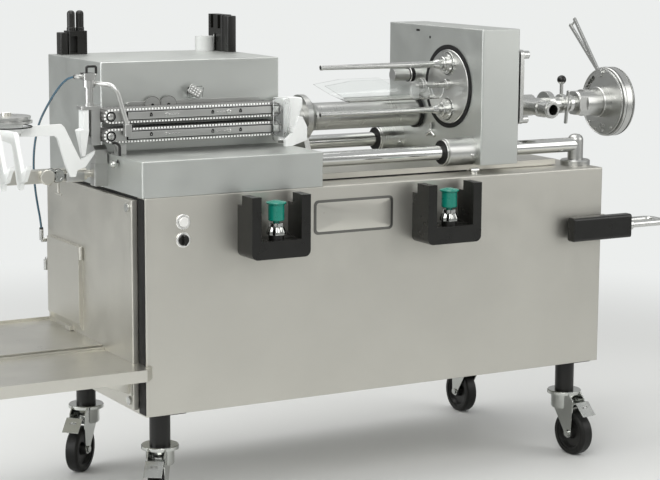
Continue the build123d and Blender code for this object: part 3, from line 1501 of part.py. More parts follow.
def wheel():
    """A tyre with rounded shoulders on a webbed hub."""
    half = wheel_width / 2
    tyre = [(-half, hub_radius), (-half, wheel_radius - tyre_round), (-half + 2, wheel_radius - 2),
            (-half + tyre_round, wheel_radius), (half - tyre_round, wheel_radius),
            (half - 2, wheel_radius - 2), (half, wheel_radius - tyre_round), (half, hub_radius)]
    web = hub_web / 2
    bore = axle_radius + running_gap
    hub_half = half + fork_gap - seat_gap
    hub = [(-hub_half, bore), (-hub_half, hub_boss_radius), (-web, hub_boss_radius + 3),
           (-web, hub_radius - 8), (-half + 3, hub_radius - 4), (-half + 3, hub_radius),
           (half - 3, hub_radius), (half - 3, hub_radius - 4), (web, hub_radius - 8),
           (web, hub_boss_radius + 3), (hub_half, hub_boss_radius), (hub_half, bore)]
    place = (axle_offset, 0, wheel_radius)
    return solids_of(turned(tyre, place, Y_AXIS), turned(hub, place, Y_AXIS))


def pedal():
    """A slotted foot pedal on the fork's cross pin."""
    half = pedal_width / 2
    eye = 2 * pedal_pin_radius
    inner = wheel_width / 2 + fork_gap - seat_gap - 0.5
    u = pedal_pivot_u
    z = pedal_pivot_z
    path = [(u - 3, z + eye - pedal_sheet), (u + 22, z + eye + 2 - pedal_sheet),
            (u + pedal_reach, z - pedal_drop), (u + pedal_reach + 2.6, z - pedal_drop + 1.6),
            (u + 24, z + eye + 2), (u - 3, z + eye)]
    plane = Plane(origin=(0, inner, 0), x_dir=(1, 0, 0), z_dir=(0, -1, 0))
    plate = slab(path, plane, 2 * inner)
    wide = Plane(origin=(0, half, 0), x_dir=(1, 0, 0), z_dir=(0, -1, 0))
    pad = slab([path[1], path[2], path[3], path[4]], wide, pedal_width)
    plate = plate + pad
    slope = degrees(atan2(pedal_drop + eye, pedal_reach - 22))
    centre = (u + (pedal_reach + 22) / 2, (z + eye - 2 + z - pedal_drop) / 2 + 6)
    slot = Pos(centre[0] - 3, 0, centre[1]) * Rot(0, slope, 0) * Box(pedal_slot_width, pedal_slot_length, 22)
    plate = plate - slot
    for side in (-1, 1):
        y = side * inner - (3 if side > 0 else 0)
        ear = Plane(origin=(0, y + 3, 0), x_dir=(1, 0, 0), z_dir=(0, -1, 0))
        plate = plate + extrude(ear * (Pos(u, z) * Circle(eye)), 3)
    return plate - rod((u, -2 * half, z), Y_AXIS, 4 * half, pedal_pin_radius + running_gap)


# Drip trays

def tray(front, back, top, lip, right):
    """A shallow pan of folded sheet with a rolled front lip and low rims."""
    pan = block((tray_left, right), (front, back), (top - tray_sheet, top))
    pan = pan + block((tray_left, right), (front, front + tray_sheet), (top - lip, top))
    pan = pan + block((tray_left, right), (back - tray_sheet, back), (top - tray_sheet, top + tray_rim))
    return pan + block((tray_left, tray_left + tray_sheet), (front, back), (top - lip, top))


def drip_trays():
    right = cover_face_x - seat_gap
    front = tray(front_tray_front, front_tray_back, front_tray_top, front_tray_lip, right)
    corner = [(right - 1, front_tray_front), (right + 3, front_tray_front), (tray_wrap, -tray_corner),
              (tray_wrap, -seat_gap), (-seat_gap, -seat_gap), (-seat_gap, cover_front - seat_gap),
              (right - 1, cover_front - seat_gap)]
    plane = Plane(origin=(0, 0, front_tray_top - tray_sheet), x_dir=(1, 0, 0), z_dir=(0, 0, 1))
    front = front + slab(corner, plane, tray_sheet)
    lip_plane = Plane(origin=(0, 0, front_tray_top - front_tray_lip), x_dir=(1, 0, 0), z_dir=(0, 0, 1))
    lip = [(right - 1, front_tray_front), (right + 3, front_tray_front), (tray_wrap, -tray_corner),
           (tray_wrap, -tray_corner + tray_sheet), (right + 2, front_tray_front + tray_sheet),
           (right - 1, front_tray_front + tray_sheet)]
    front = front + slab(lip, lip_plane, front_tray_lip)
    rear = tray(rear_tray_front, cabinet_depth, rear_tray_top, rear_tray_lip, right)
    brackets = []
    for y in tray_brackets_y:
        top = (front_tray_top if y < front_tray_back else rear_tray_top) - tray_sheet
        outline = [(right, top), (-bracket_reach, top), (-bracket_reach, top - 12), (right, top - bracket_drop)]
        plane = Plane(origin=(0, y + bracket_thickness, 0), x_dir=(1, 0, 0), z_dir=(0, -1, 0))
        rib = slab(outline, plane, bracket_thickness)
        flange = block((right - bracket_thickness, right), (y - 14, y + 18), (top - bracket_drop, top))
        brackets.append(rib + flange)
    return solids_of(front, rear, *brackets)


# Discharge parts

def discharge_block():
    """The spacer on the step housing, the arched bearing cap and the slotted clamp plate."""
    spacer = block((dome_left, step_left), (dome_front + 5, dome_back), (spacer_low, dome_low))
    spacer = chamfer(spacer.faces().sort_by(Axis.X)[0].edges(), 2)
    middle = (dome_front + dome_back) / 2
    half = (dome_back - dome_front) / 2
    side = Plane(origin=(dome_left, middle, 0), x_dir=(0, 1, 0), z_dir=(1, 0, 0))
    outline = make_face(Polyline((-half, dome_low), (half, dome_low), (half, dome_top - dome_arch),
                                 (0, dome_top), (-half, dome_top - dome_arch), close=True))
    dome = extrude(side * outline, dome_right - dome_left)
    dome = fillet(dome.edges().filter_by(Axis.X).group_by(Axis.Z)[-1], 12)
    plate_y = guard_front_y() + guard_thickness - 6
    plate = block((clamp_plate_left, clamp_plate_right), (plate_y, plate_y + clamp_plate_thickness),
                  (step_top, clamp_plate_top))
    foot = block((clamp_plate_left, clamp_plate_right), (plate_y, plate_y + 26),
                 (step_top, step_top + clamp_plate_thickness))
    centre_x = (clamp_plate_left + clamp_plate_right) / 2
    centre_z = (step_top + clamp_plate_top) / 2 + 1
    slot = Plane(origin=(centre_x, plate_y - 1, centre_z), x_dir=(1, 0, 0), z_dir=(0, 1, 0))
    plate = plate - extrude(slot * SlotOverall(clamp_slot_width * 2, clamp_slot_width),
                            clamp_plate_thickness + 2)
    knob = rod((centre_x, plate_y - clamp_knob_length, centre_z), Y_AXIS, clamp_knob_length, clamp_knob_radius)
    return [spacer + dome, plate + foot + knob]


def discharge_frame():
    return solids_of(*discharge_block(), discharge_head())


def discharge_head():
    """The dark panel, the shelf, the column with its shoulder and the head on top of it."""
    panel = block((panel_left, panel_right), (panel_front, panel_back), (dome_top, shelf_height))
    panel = panel - block((panel_left - 1, panel_left + 10), (panel_front + 4, panel_back - 4),
                          (dome_top + 20, shelf_height - 8))
    shelf = block((shelf_left, shelf_right), (work_y - 19, work_y + 19),
                  (shelf_height, shelf_height + shelf_thickness))
    shelf = fillet(shelf.edges().filter_by(Axis.Z), 6)
    shelf_top = shelf_height + shelf_thickness
    profile = [(0, 0), (0, column_collar_radius), (6, column_collar_radius), (6, column_radius + 1.5),
               (column_shoulder - shelf_top, column_radius + 1.5),
               (column_shoulder - shelf_top, column_radius), (head_low - shelf_top, column_radius),
               (head_low - shelf_top, 0)]
    column = turned(profile, (column_x, work_y, shelf_top), Z_AXIS)
    head = block((column_x - head_length * 0.62, column_x + head_length * 0.38),
                 (work_y - head_width / 2, work_y + head_width / 2), (head_low, head_low + head_height))
    head = fillet(head.edges().filter_by(Axis.Z), 5)
    hose_start = Vector(*hose_points[0])
    hose_way = (Vector(*hose_points[1]) - hose_start).normalized()
    nipple_left = hose_start.X + nipple_radius
    nipple = rod((nipple_left, work_y, head_low + head_height / 2), X_AXIS, column_x - nipple_left, nipple_radius)
    socket = rod(tuple(hose_start - hose_way * nipple_socket), hose_way, nipple_socket, nipple_radius)
    path = FilletPolyline((column_x - 6, work_y, head_low + head_height - 1),
                          (column_x - 6, work_y, head_low + head_height + 16),
                          (column_x + head_length * 0.38 + 8, work_y, head_low + head_height + 16),
                          (column_x + head_length * 0.38 + 8, work_y, head_low + head_height / 2 + 2),
                          (column_x + head_length * 0.38 - 1, work_y, head_low + head_height / 2 + 2),
                          radius=4.5)
    section = Plane(origin=path @ 0, z_dir=path % 0) * Circle(head_elbow_radius)
    elbow = sweep(section, path=path)
    return panel + shelf + column + head + nipple + socket + elbow


def swing_arm():
    """A bent round bar on a hub that turns on the column, with a pad in front of the belts."""
    low = column_shoulder + seat_gap
    high = head_low - seat_gap
    hub = rod((column_x, work_y, low), Z_AXIS, high - low, arm_hub_radius)
    passage = rod((column_x, work_y, low), Z_AXIS, high - low, column_radius + running_gap)
    z = (low + high) / 2
    start_x = column_x + (arm_hub_radius + column_radius) / 2
    path = FilletPolyline((start_x, work_y, z), (arm_knee_x, arm_front_y + 3, z - 2),
                          (arm_end_x, arm_front_y, arm_end_low + arm_end_height - 2), radius=arm_bend_radius)
    section = Plane(origin=path @ 0, z_dir=path % 0) * Circle(arm_bar_radius)
    bar = sweep(section, path=path)
    pad = block((arm_end_x - arm_end_length / 2, arm_end_x + arm_end_length / 2),
                (arm_front_y - arm_end_width / 2, arm_front_y + arm_end_width / 2),
                (arm_end_low, arm_end_low + arm_end_height))
    pad = fillet(pad.edges().filter_by(Axis.Z), 4)
    return hub + bar + pad - passage


def discharge_chute():
    """The white chute below the shelf: a block, a step outwards and a funnel down to a small tip."""
    levels = [(chute_top_z, chute_top_x, chute_top_length, chute_width),
              (chute_neck_z + chute_step, chute_top_x, chute_top_length, chute_width),
              (chute_neck_z, chute_neck_x, chute_neck_length, chute_width),
              (chute_tip_z, chute_tip_x, chute_tip_size, chute_tip_size)]
    faces = []
    for z, x, length, width in levels:
        faces.append(Pos(x, work_y, z) * Rectangle(length, width))
    return loft(faces, ruled=True)


# Hook conveyor nose

def nose_wheel():
    """The stacked guide discs and the sprocket, turning on the nose's post."""
    bore = nose_post_radius + running_gap
    low = nose_wheel_z - 14
    upper = low + chain_height + seat_gap
    profile = [(0, bore), (0, sprocket_radius - 8), (chain_height / 3, sprocket_radius - 8),
               (chain_height / 3, sprocket_radius), (chain_height * 2 / 3, sprocket_radius),
               (chain_height * 2 / 3, sprocket_radius - 8), (upper - low, sprocket_radius - 8),
               (upper - low, nose_disc_radius), (upper - low + nose_disc_thickness, nose_disc_radius),
               (upper - low + nose_disc_thickness, nose_disc_radius - 12),
               (upper - low + nose_disc_thickness + nose_disc_gap, nose_disc_radius - 12),
               (upper - low + nose_disc_thickness + nose_disc_gap, nose_disc_radius - 4),
               (upper - low + 2 * nose_disc_thickness + nose_disc_gap, nose_disc_radius - 4),
               (upper - low + 2 * nose_disc_thickness + nose_disc_gap, bore)]
    return turned(profile, (nose_wheel_x, work_y, low), Z_AXIS)


def chain_hook():
    """One hook in its own plane: the arm out, the limb down to the notch, the tip and the leg."""
    outline = [(sprocket_radius + 2, hook_top), (141, hook_top + 2), (149, hook_top - 6), (190, hook_notch),
               (230, hook_notch + 22), (227, hook_notch + 13), (203, hook_notch - 18), (182, hook_notch - 24),
               (177, hook_notch - 41), (164, hook_notch - 41), (154, hook_notch - 20), (130, hook_top - 32),
               (122, hook_top - 26), (sprocket_radius + 2, hook_top - 24)]
    plane = Plane(origin=(0, hook_thickness / 2, 0), x_dir=(1, 0, 0), z_dir=(0, -1, 0))
    return slab(outline, plane, hook_thickness)


def hook_chain():
    """The chain loop round the sprocket and the tail, with its white hooks."""
    low = nose_wheel_z - 14
    half = (nose_wheel_x - nose_tail_x) / 2
    centre = (nose_wheel_x + nose_tail_x) / 2
    inner = sprocket_radius + seat_gap
    outer = inner + chain_width
    plane = Plane(origin=(centre, work_y, low), x_dir=(1, 0, 0), z_dir=(0, 0, 1))
    loop = extrude(plane * (SlotCenterToCenter(2 * half, 2 * outer) - SlotCenterToCenter(2 * half, 2 * inner)),
                   chain_height)
    pieces = [loop]
    shape = chain_hook()
    pieces.append(Pos(nose_wheel_x, work_y, 0) * shape)
    for step in range(hooks_per_run):
        x = nose_wheel_x - 30 - step * hook_pitch
        pieces.append(Pos(x, work_y, 0) * Rot(0, 0, -90) * shape)
        pieces.append(Pos(x, work_y, 0) * Rot(0, 0, 90) * shape)
    return joined(pieces)


def hook_rail():
    """The rail beside the hooks, its shaft to the machine, the clamp knob and the wheel's post."""
    z = (rail_low, rail_low + rail_height)
    rail = block((rail_left, rail_right), (rail_front, rail_front + rail_width), z)
    shaft = rod((nose_knob_left, nose_shaft_y, nose_shaft_z), X_AXIS, dome_left - nose_knob_left, nose_shaft_radius)
    bushing = rod((rail_right, nose_shaft_y, nose_shaft_z), X_AXIS, dome_left - rail_right - 12,
                  nose_bushing_radius)
    knob = rod((nose_knob_left, rail_front - 14, nose_shaft_z), Y_AXIS, 14, nose_knob_radius)
    knob = chamfer(knob.edges().group_by(Axis.Y)[0], 2)
    tee_x = rail_right - 22
    tee = rod((tee_x, rail_front + rail_width / 2, z[0] - tee_rod_drop), Z_AXIS, tee_rod_drop + 1, tee_rod_radius)
    tee = tee + rod((tee_x, rail_front + rail_width / 2 - 20, z[0] - tee_rod_drop), Y_AXIS, 40, tee_rod_radius)
    table_z = nose_wheel_z - 14 - seat_gap
    table = block((nose_tail_x, nose_wheel_x + 20), (work_y - 24, work_y + 24), (table_z - 8, table_z))
    table = fillet(table.edges().filter_by(Axis.Z), 10)
    riser = block((nose_tail_x + 20, nose_wheel_x - 20), (work_y + 8, work_y + 22), (z[0], table_z - 8))
    post = rod((nose_wheel_x, work_y, table_z - 8), Z_AXIS, 52 + nose_disc_thickness, nose_post_radius)
    return rail + shaft + bushing + knob + tee + table + riser + post


# Hose and fittings

def hose_fittings():
    """Two elbows on the rear wall: the upper one takes the hose, the lower one keeps a bare barb."""
    found = []
    for x, z, way in ((upper_fitting_x, upper_fitting_z, 1), (lower_fitting_x, lower_fitting_z, -1)):
        y = cabinet_depth + fitting_stand
        nut = rod((fitting_inset, cabinet_depth, z), Y_AXIS, fitting_nut, fitting_radius)
        link = rod((fitting_inset, cabinet_depth, z), Y_AXIS, fitting_stand, fitting_body_radius)
        body = rod((fitting_inset, y, z), -X_AXIS, fitting_inset - x, fitting_body_radius)
        stem = rod((x, y, z), Z_AXIS * way, fitting_rise, fitting_stem_radius)
        found.append(nut + body + link + stem)
    return solids_of(*found)


def air_hose():
    """A hose of straight runs and tangent arcs from the head down to the upper fitting."""
    points = [Vector(*p) for p in hose_points]
    radii = []
    for before, corner, after in zip(points, points[1:], points[2:]):
        turn = radians((corner - before).get_angle(after - corner))
        run = min((corner - before).length, (after - corner).length)
        radii.append(0.45 * run / tan(turn / 2))
    print("hose radii", [round(r, 1) for r in radii])
    path = FilletPolyline(*hose_points, radius=radii)
    section = Plane(origin=path @ 0, z_dir=path % 0) * Circle(hose_radius)
    hose = sweep(section, path=path)
    print("hose length", round(path.length, 1), "volume share",
          round(hose.volume / (pi * hose_radius ** 2 * path.length), 4))
    return hose


def all_nodes():
    """Every sub-part by name, built in the machine's own frame."""
    lower_shaft = step_depth + housing_sheet + belt_gearbox_depth * 0.6
    idler_shaft = belt_back + seat_gap + cheek_thickness
    nodes = {
        "cabinet_shell": cabinet_shell(), "end_cover": end_cover(), "leg_posts": leg_posts(),
        "upper_cover_lock": cover_lock(upper_lock_z), "lower_cover_lock": cover_lock(lower_lock_z),
        "step_housing": step_housing(), "drive_housing": drive_housing(), "guide_frame": guide_frame(),
        "brake_tube": brake_tube(), "roof_holders": roof_holders(),
        "lower_belt": belt(lower_belt_z), "lower_belt_beam": lower_belt_beam(),
        "upper_belt": belt(upper_belt_z), "upper_belt_beam": upper_belt_beam(),
        "lower_drive_pulley": pulley(belt_right_x, lower_belt_z, lower_shaft),
        "lower_idler_pulley": pulley(belt_left_x, lower_belt_z, idler_shaft),
        "upper_drive_pulley": pulley(belt_right_x, upper_belt_z, lower_shaft),
        "upper_idler_pulley": pulley(belt_left_x, upper_belt_z, idler_shaft),
        "belt_gearmotor": belt_gearmotor(), "casing_brake": casing_brake(), "clear_guards": clear_guards(),
        "palm_guards": palm_guards(), "left_palm_button": palm_button(palm_positions[0]),
        "right_palm_button": palm_button(palm_positions[1]), "control_rings": control_rings(),
        "push_button": push_button(), "selector_knob": selector_knob(), "knee_lever": knee_lever(),
        "drip_trays": drip_trays(), "discharge_frame": discharge_frame(), "swing_arm": swing_arm(),
        "discharge_chute": discharge_chute(), "hook_chain": hook_chain(), "hook_rail": hook_rail(),
        "nose_wheel": nose_wheel(), "hose_fittings": hose_fittings(), "air_hose": air_hose(),
        "turret_housing": turret_housing(), "guide_sleeves": guide_sleeves(),
        "carriage_seals": carriage_seals(), "turret_gearmotor": turret_gearmotor(),
        "inlet_valve": inlet_valve(), "inlet_handle": inlet_handle(),
        "coupling_flange": coupling_flange(), "coupling_lever": coupling_lever(),
        "turret_disc": turret_disc(), "casing_trough": casing_trough(),
        "upper_horn": horn(1), "lower_horn": horn(-1),
    }
    for name in caster_names:
        nodes[name + "_fork"] = placed(name, fork())
        nodes[name + "_wheel"] = placed(name, wheel())
        if name in braked_casters:
            nodes[name + "_pedal"] = placed(name, pedal())
    return nodes


def export_all():
    """Writes every node with the origin on the floor, midway under the whole machine."""
    nodes = all_nodes()
    boxes = [shape.bounding_box() for name, shape in nodes.items() if name != "air_hose"]
    low = [min(getattr(box.min, axis) for box in boxes) for axis in "XYZ"]
    high = [max(getattr(box.max, axis) for box in boxes) for axis in "XYZ"]
    shift = (-(low[0] + high[0]) / 2, -(low[1] + high[1]) / 2, -low[2])
    for name, shape in nodes.items():
        export_step(solids_of(Pos(*shift) * shape), "parts/" + name + ".step")
    print("shift", [round(value, 4) for value in shift])
    print("size", [round(b - a, 2) for a, b in zip(low, high)])


export_all()
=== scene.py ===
"""Looks of a linking machine on casters: finishes, small parts, air hose, stage and camera."""

import json
from math import cos, pi, radians, sin

import bmesh
import bpy
import numpy as np
from mathutils import Matrix, Vector


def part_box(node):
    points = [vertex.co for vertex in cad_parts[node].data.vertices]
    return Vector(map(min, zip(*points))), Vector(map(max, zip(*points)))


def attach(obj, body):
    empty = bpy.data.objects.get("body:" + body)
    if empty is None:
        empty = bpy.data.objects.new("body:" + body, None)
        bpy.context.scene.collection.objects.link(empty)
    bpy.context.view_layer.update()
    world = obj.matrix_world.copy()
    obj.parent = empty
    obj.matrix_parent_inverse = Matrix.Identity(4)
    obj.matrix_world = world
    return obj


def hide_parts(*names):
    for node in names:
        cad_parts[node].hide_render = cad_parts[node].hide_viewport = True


bl_info = {
    "name": "Linking machine",
    "version": (1, 0, 0),
    "blender": (4, 5, 0),
    "location": "View3D > Sidebar > Machine",
    "description": "Finishes and small parts of a linking machine, on its packed frame",
    "category": "Add Mesh",
}

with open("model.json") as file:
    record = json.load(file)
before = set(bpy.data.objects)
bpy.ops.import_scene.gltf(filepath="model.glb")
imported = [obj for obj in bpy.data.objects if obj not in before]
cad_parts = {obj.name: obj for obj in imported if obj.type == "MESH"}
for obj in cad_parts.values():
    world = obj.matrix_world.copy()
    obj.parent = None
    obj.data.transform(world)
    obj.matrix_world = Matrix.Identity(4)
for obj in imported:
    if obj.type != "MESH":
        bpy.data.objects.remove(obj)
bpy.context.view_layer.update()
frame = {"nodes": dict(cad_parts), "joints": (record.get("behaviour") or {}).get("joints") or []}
NODES = frame["nodes"]

# The cabinet's lower front left corner stands this high over the floor, in millimetres
CABINET_LOW = 270.0
CABINET_CORNER = np.array(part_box("cabinet_shell")[0])


def at(x, y, z):
    """A place in the shop's own millimetres: from the floor under the cabinet's front left corner."""
    return CABINET_CORNER + np.array((x, y, z - CABINET_LOW)) / 1000


def mm(value):
    return value / 1000


X = np.array((1.0, 0.0, 0.0))
Y = np.array((0.0, 1.0, 0.0))
Z = np.array((0.0, 0.0, 1.0))


def low_of(node):
    return np.array(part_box(node)[0])


def high_of(node):
    return np.array(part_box(node)[1])


# Settings that a user would change: what settings of one kind share comes first

COLOUR = {"subtype": "COLOR", "size": 3, "min": 0, "max": 1}
GLOSS = {"subtype": "FACTOR", "min": 0, "max": 1}
LENGTH = {"subtype": "DISTANCE", "unit": "LENGTH"}
POWER = {"unit": "POWER", "min": 0, "max": 1000}


class FinishSettings(bpy.types.PropertyGroup):
    """Colours and gloss of the machine's finishes."""

    sheet_colour: bpy.props.FloatVectorProperty(
        name="Sheet steel", description="Colour of the blasted stainless sheets",
        default=(0.555, 0.545, 0.50), **COLOUR)
    sheet_gloss: bpy.props.FloatProperty(
        name="Sheet roughness", description="Roughness of the blasted sheets", default=0.42, **GLOSS)
    bright_colour: bpy.props.FloatVectorProperty(
        name="Bright steel", description="Colour of turned and polished steel", default=(0.56, 0.565, 0.55),
        **COLOUR)
    bright_gloss: bpy.props.FloatProperty(
        name="Bright roughness", description="Roughness of turned and polished steel", default=0.25,
        **GLOSS)
    white_colour: bpy.props.FloatVectorProperty(
        name="White plastic", description="Colour of hooks, chute and brake", default=(0.72, 0.735, 0.725),
        **COLOUR)
    black_colour: bpy.props.FloatVectorProperty(
        name="Black plastic", description="Colour of the button guards and the knee pad",
        default=(0.007, 0.007, 0.006), **COLOUR)
    button_colour: bpy.props.FloatVectorProperty(
        name="Button", description="Colour of the palm buttons", default=(0.004, 0.185, 0.135), **COLOUR)
    hose_colour: bpy.props.FloatVectorProperty(
        name="Hose", description="Colour of the air hose", default=(0.02, 0.075, 0.12), **COLOUR)


class TrimSettings(bpy.types.PropertyGroup):
    """Sizes of the small parts."""

    screw_radius: bpy.props.FloatProperty(
        name="Screw head", description="Radius of a common screw head", min=0.001, max=0.01, default=0.0045,
        **LENGTH)
    inlay_height: bpy.props.FloatProperty(
        name="Inlay height", description="Height of the plate let into each belt beam", min=0.01, max=0.025,
        default=0.0185, **LENGTH)
    # The inlay seam is partly the real joint and partly painted shadow along the inlay's edges
    seam_and_shadow_width: bpy.props.FloatProperty(
        name="Inlay seal", description="Width of the dark seam round each inlay", min=0.0005, max=0.003,
        default=0.0022, **LENGTH)
    ring_radius: bpy.props.FloatProperty(
        name="Hub ring", description="Radius of the dark ring round each belt hub", min=0.009, max=0.014,
        default=0.0112, **LENGTH)
    tooth_pitch: bpy.props.FloatProperty(
        name="Tooth pitch", description="Distance from one belt tooth to the next", min=0.005, max=0.02,
        default=0.0084, **LENGTH)
    cup_radius: bpy.props.FloatProperty(
        name="Caster cup", description="Radius of the plated cup under each caster ring", min=0.02,
        max=0.042, default=0.036, **LENGTH)
    hose_radius: bpy.props.FloatProperty(
        name="Hose radius", description="Radius of the air hose", min=0.001, max=0.006, default=0.003,
        **LENGTH)


class StageSettings(bpy.types.PropertyGroup):
    """The floor and the lamps."""

    floor_colour: bpy.props.FloatVectorProperty(
        name="Floor", description="Colour of the plain floor", default=(0.66, 0.665, 0.655), **COLOUR)
    key_power: bpy.props.FloatProperty(
        name="Key lamp", description="Power of the large lamp over the front left", default=62, **POWER)
    fill_power: bpy.props.FloatProperty(
        name="Fill lamp", description="Power of the lamp at the right", default=26, **POWER)
    side_power: bpy.props.FloatProperty(
        name="Side lamp", description="Power of the lamp at the left", default=75, **POWER)
    fade_start: bpy.props.FloatProperty(
        name="Floor fade", description="Distance from the machine where the floor starts to fade out",
        min=0.5, max=6, default=1.9, **LENGTH)


def trim():
    return bpy.context.scene.machine_trim


# Surfaces as arrays of points

MERGE_REACH = 2e-6
SHARP_ANGLE = radians(35)


def outline(*points):
    """The outline of a turned piece from millimetres: along the axis, then out from it."""
    return np.array(points) / 1000


def turned_surface(profile, origin, axis, steps=40, lobes=0, depth=0.0):
    """A turned surface about an axis, with U and V square to it.

    P(t, a) = origin + along(t) axis + radius(t) (1 + depth cos(lobes a)) (cos a U + sin a V)
    """
    profile = np.asarray(profile, float)
    axis = np.asarray(axis, float) / np.linalg.norm(axis)
    first = np.cross(axis, Z if abs(axis[2]) < 0.9 else X)
    first /= np.linalg.norm(first)
    second = np.cross(axis, first)
    angle = np.linspace(0, 2 * pi, steps, endpoint=False)
    round_way = np.cos(angle)[:, None] * first + np.sin(angle)[:, None] * second
    swell = 1 + depth * np.cos(lobes * angle)
    points = (np.asarray(origin) + profile[:, 0, None, None] * axis
              + profile[:, 1, None, None] * swell[None, :, None] * round_way[None])
    return points, False, True


def ring_surface(centre, axis, radius, thickness, steps=48):
    """A torus: the circle of the ring carries a small circle round its own line."""
    angle = np.linspace(0, 2 * pi, 12, endpoint=False)
    profile = np.stack((thickness * np.sin(angle), radius + thickness * np.cos(angle)), 1)
    points, _, _ = turned_surface(profile, centre, axis, steps)
    return points, True, True


def tube_surface(line, radius, steps, up):
    """A swept tube, closed by a point at each end, with N and B square to its line.

    P(i, a) = line(i) + radius(i) (cos a N(i) + sin a B(i))
    """
    line = np.asarray(line, float)
    radius = np.broadcast_to(np.asarray(radius, float), (len(line),)).copy()
    way = np.gradient(line, axis=0)
    way /= np.linalg.norm(way, axis=1, keepdims=True)
    side = np.cross(way, up)
    side /= np.linalg.norm(side, axis=1, keepdims=True)
    over = np.cross(side, way)
    line, side, over = (np.vstack((rows[:1], rows, rows[-1:])) for rows in (line, side, over))
    radius = np.concatenate(([0], radius, [0]))
    angle = np.linspace(0, 2 * pi, steps, endpoint=False)
    turned = np.cos(angle)[:, None] * over[:, None] + np.sin(angle)[:, None] * side[:, None]
    return line[:, None] + radius[:, None, None] * turned, False, True


def plate_surface(centre, along, across, out, half_length, half_width, height, corner, edge, steps=6):
    """A plate with round corners and a rounded rim.

    The outline is a rectangle whose corners are quarter circles; each level of the profile draws that
    outline in by the rim's own quarter circle, and the first and last levels meet in the middle.
    """
    quarter = np.linspace(0, pi / 2, steps)
    angle = np.concatenate([quarter + turn * pi / 2 for turn in range(4)])
    sign_x = np.repeat((1, -1, -1, 1), steps)
    sign_y = np.repeat((1, 1, -1, -1), steps)
    rim = np.linspace(0, pi / 2, 4)
    inset = np.concatenate(([0, 0], edge * (1 - np.cos(rim))))
    level = np.concatenate(([0, height - edge], height - edge + edge * np.sin(rim)))
    reach = np.maximum(corner - inset, 0)[:, None]
    x = sign_x * (half_length - corner) + reach * np.cos(angle)
    y = sign_y * (half_width - corner) + reach * np.sin(angle)
    pole = np.zeros(len(angle))
    x = np.vstack((pole, x, pole))
    y = np.vstack((pole, y, pole))
    level = np.concatenate(([0], level, level[-1:]))
    points = (np.asarray(centre) + x[..., None] * np.asarray(along) + y[..., None] * np.asarray(across)
              + level[:, None, None] * np.asarray(out))
    return points, False, True


def cells(rows, columns, round_rows, round_columns):
    """The four corner numbers of every cell of a grid that may run round either way."""
    row = np.arange(rows if round_rows else rows - 1)
    column = np.arange(columns if round_columns else columns - 1)
    row, column = np.meshgrid(row, column, indexing="ij")
    next_row = (row + 1) % rows
    next_column = (column + 1) % columns
    faces = np.stack((row * columns + column, row * columns + next_column,
                      next_row * columns + next_column, next_row * columns + column), -1)
    return faces.reshape(-1, 4)


def link_object(name, data):
    thing = bpy.data.objects.new(name, data)
    bpy.context.scene.collection.objects.link(thing)
    return thing


def make_piece(name, surfaces, material, body="frame_body"):
    """One object from several point grids, merged at poles and seams, with its faces turned outwards."""
    points = []
    faces = []
    count = 0
    for grid, round_rows, round_columns in surfaces:
        rows, columns = grid.shape[:2]
        points.append(grid.reshape(-1, 3))
        faces.append(cells(rows, columns, round_rows, round_columns) + count)
        count += rows * columns
    mesh = bpy.data.meshes.new(name)
    mesh.from_pydata(np.concatenate(points).tolist(), [], np.concatenate(faces).tolist())
    work = bmesh.new()
    work.from_mesh(mesh)
    bmesh.ops.remove_doubles(work, verts=work.verts, dist=MERGE_REACH)
    bmesh.ops.dissolve_degenerate(work, edges=work.edges, dist=MERGE_REACH)
    bmesh.ops.recalc_face_normals(work, faces=work.faces)
    work.to_mesh(mesh)
    work.free()
    mesh.shade_smooth()
    mesh.set_sharp_from_angle(angle=SHARP_ANGLE)
    mesh.materials.append(material_of(material))
    piece = link_object(name, mesh)
    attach(piece, body)
    return piece


# Materials

def node_material(name):
    """An empty node material with its shader and its object coordinates."""
    material = bpy.data.materials.new(name)
    material.use_nodes = True
    nodes = material.node_tree.nodes
    shader = nodes["Principled BSDF"]
    place = nodes.new("ShaderNodeTexCoord")
    return material, nodes, material.node_tree.links, shader, place


def add_node(nodes, kind, inputs=(), **settings):
    """A new shader node with its own settings, and then values for its inputs by name or number."""
    made = nodes.new("ShaderNode" + kind)
    for name, value in settings.items():
        setattr(made, name, value)
    for name, value in dict(inputs).items():
        made.inputs[name].default_value = value
    return made


def noise(nodes, links, place, scale, detail, stretch=(1, 1, 1)):
    """A noise pattern on object coordinates, drawn out along an axis by a small stretch there."""
    mapping = add_node(nodes, "Mapping", {"Scale": stretch})
    links.new(place.outputs["Object"], mapping.inputs["Vector"])
    pattern = add_node(nodes, "TexNoise", {"Scale": scale, "Detail": detail})
    links.new(mapping.outputs["Vector"], pattern.inputs["Vector"])
    return pattern.outputs["Fac"]


def spread(nodes, links, source, low, high):
    """Maps a pattern from 0.3..0.7 to low..high."""
    ramp = add_node(nodes, "MapRange", {"From Min": 0.3, "From Max": 0.7, "To Min": low, "To Max": high})
    links.new(source, ramp.inputs["Value"])
    return ramp.outputs["Result"]


def tint(nodes, links, source, colour, change):
    """A colour that a pattern makes a little darker and lighter."""
    dark = tuple(max(0, c * (1 - change)) for c in colour)
    light = tuple(min(1, c * (1 + change)) for c in colour)
    mix = add_node(nodes, "Mix", {"A": (*dark, 1), "B": (*light, 1)}, data_type="RGBA")
    links.new(spread(nodes, links, source, 0, 1), mix.inputs["Factor"])
    return mix.outputs["Result"]


def emboss(nodes, links, shader, pattern, strength, height, edge):
    """Raises a pattern in the shading, over edges that are softened by a radius."""
    bump = add_node(nodes, "Bump", {"Strength": strength, "Distance": height})
    links.new(pattern, bump.inputs["Height"])
    if edge > 0:
        soft = add_node(nodes, "Bevel", {"Radius": edge}, samples=4)
        links.new(soft.outputs["Normal"], bump.inputs["Normal"])
    links.new(bump.outputs["Normal"], shader.inputs["Normal"])


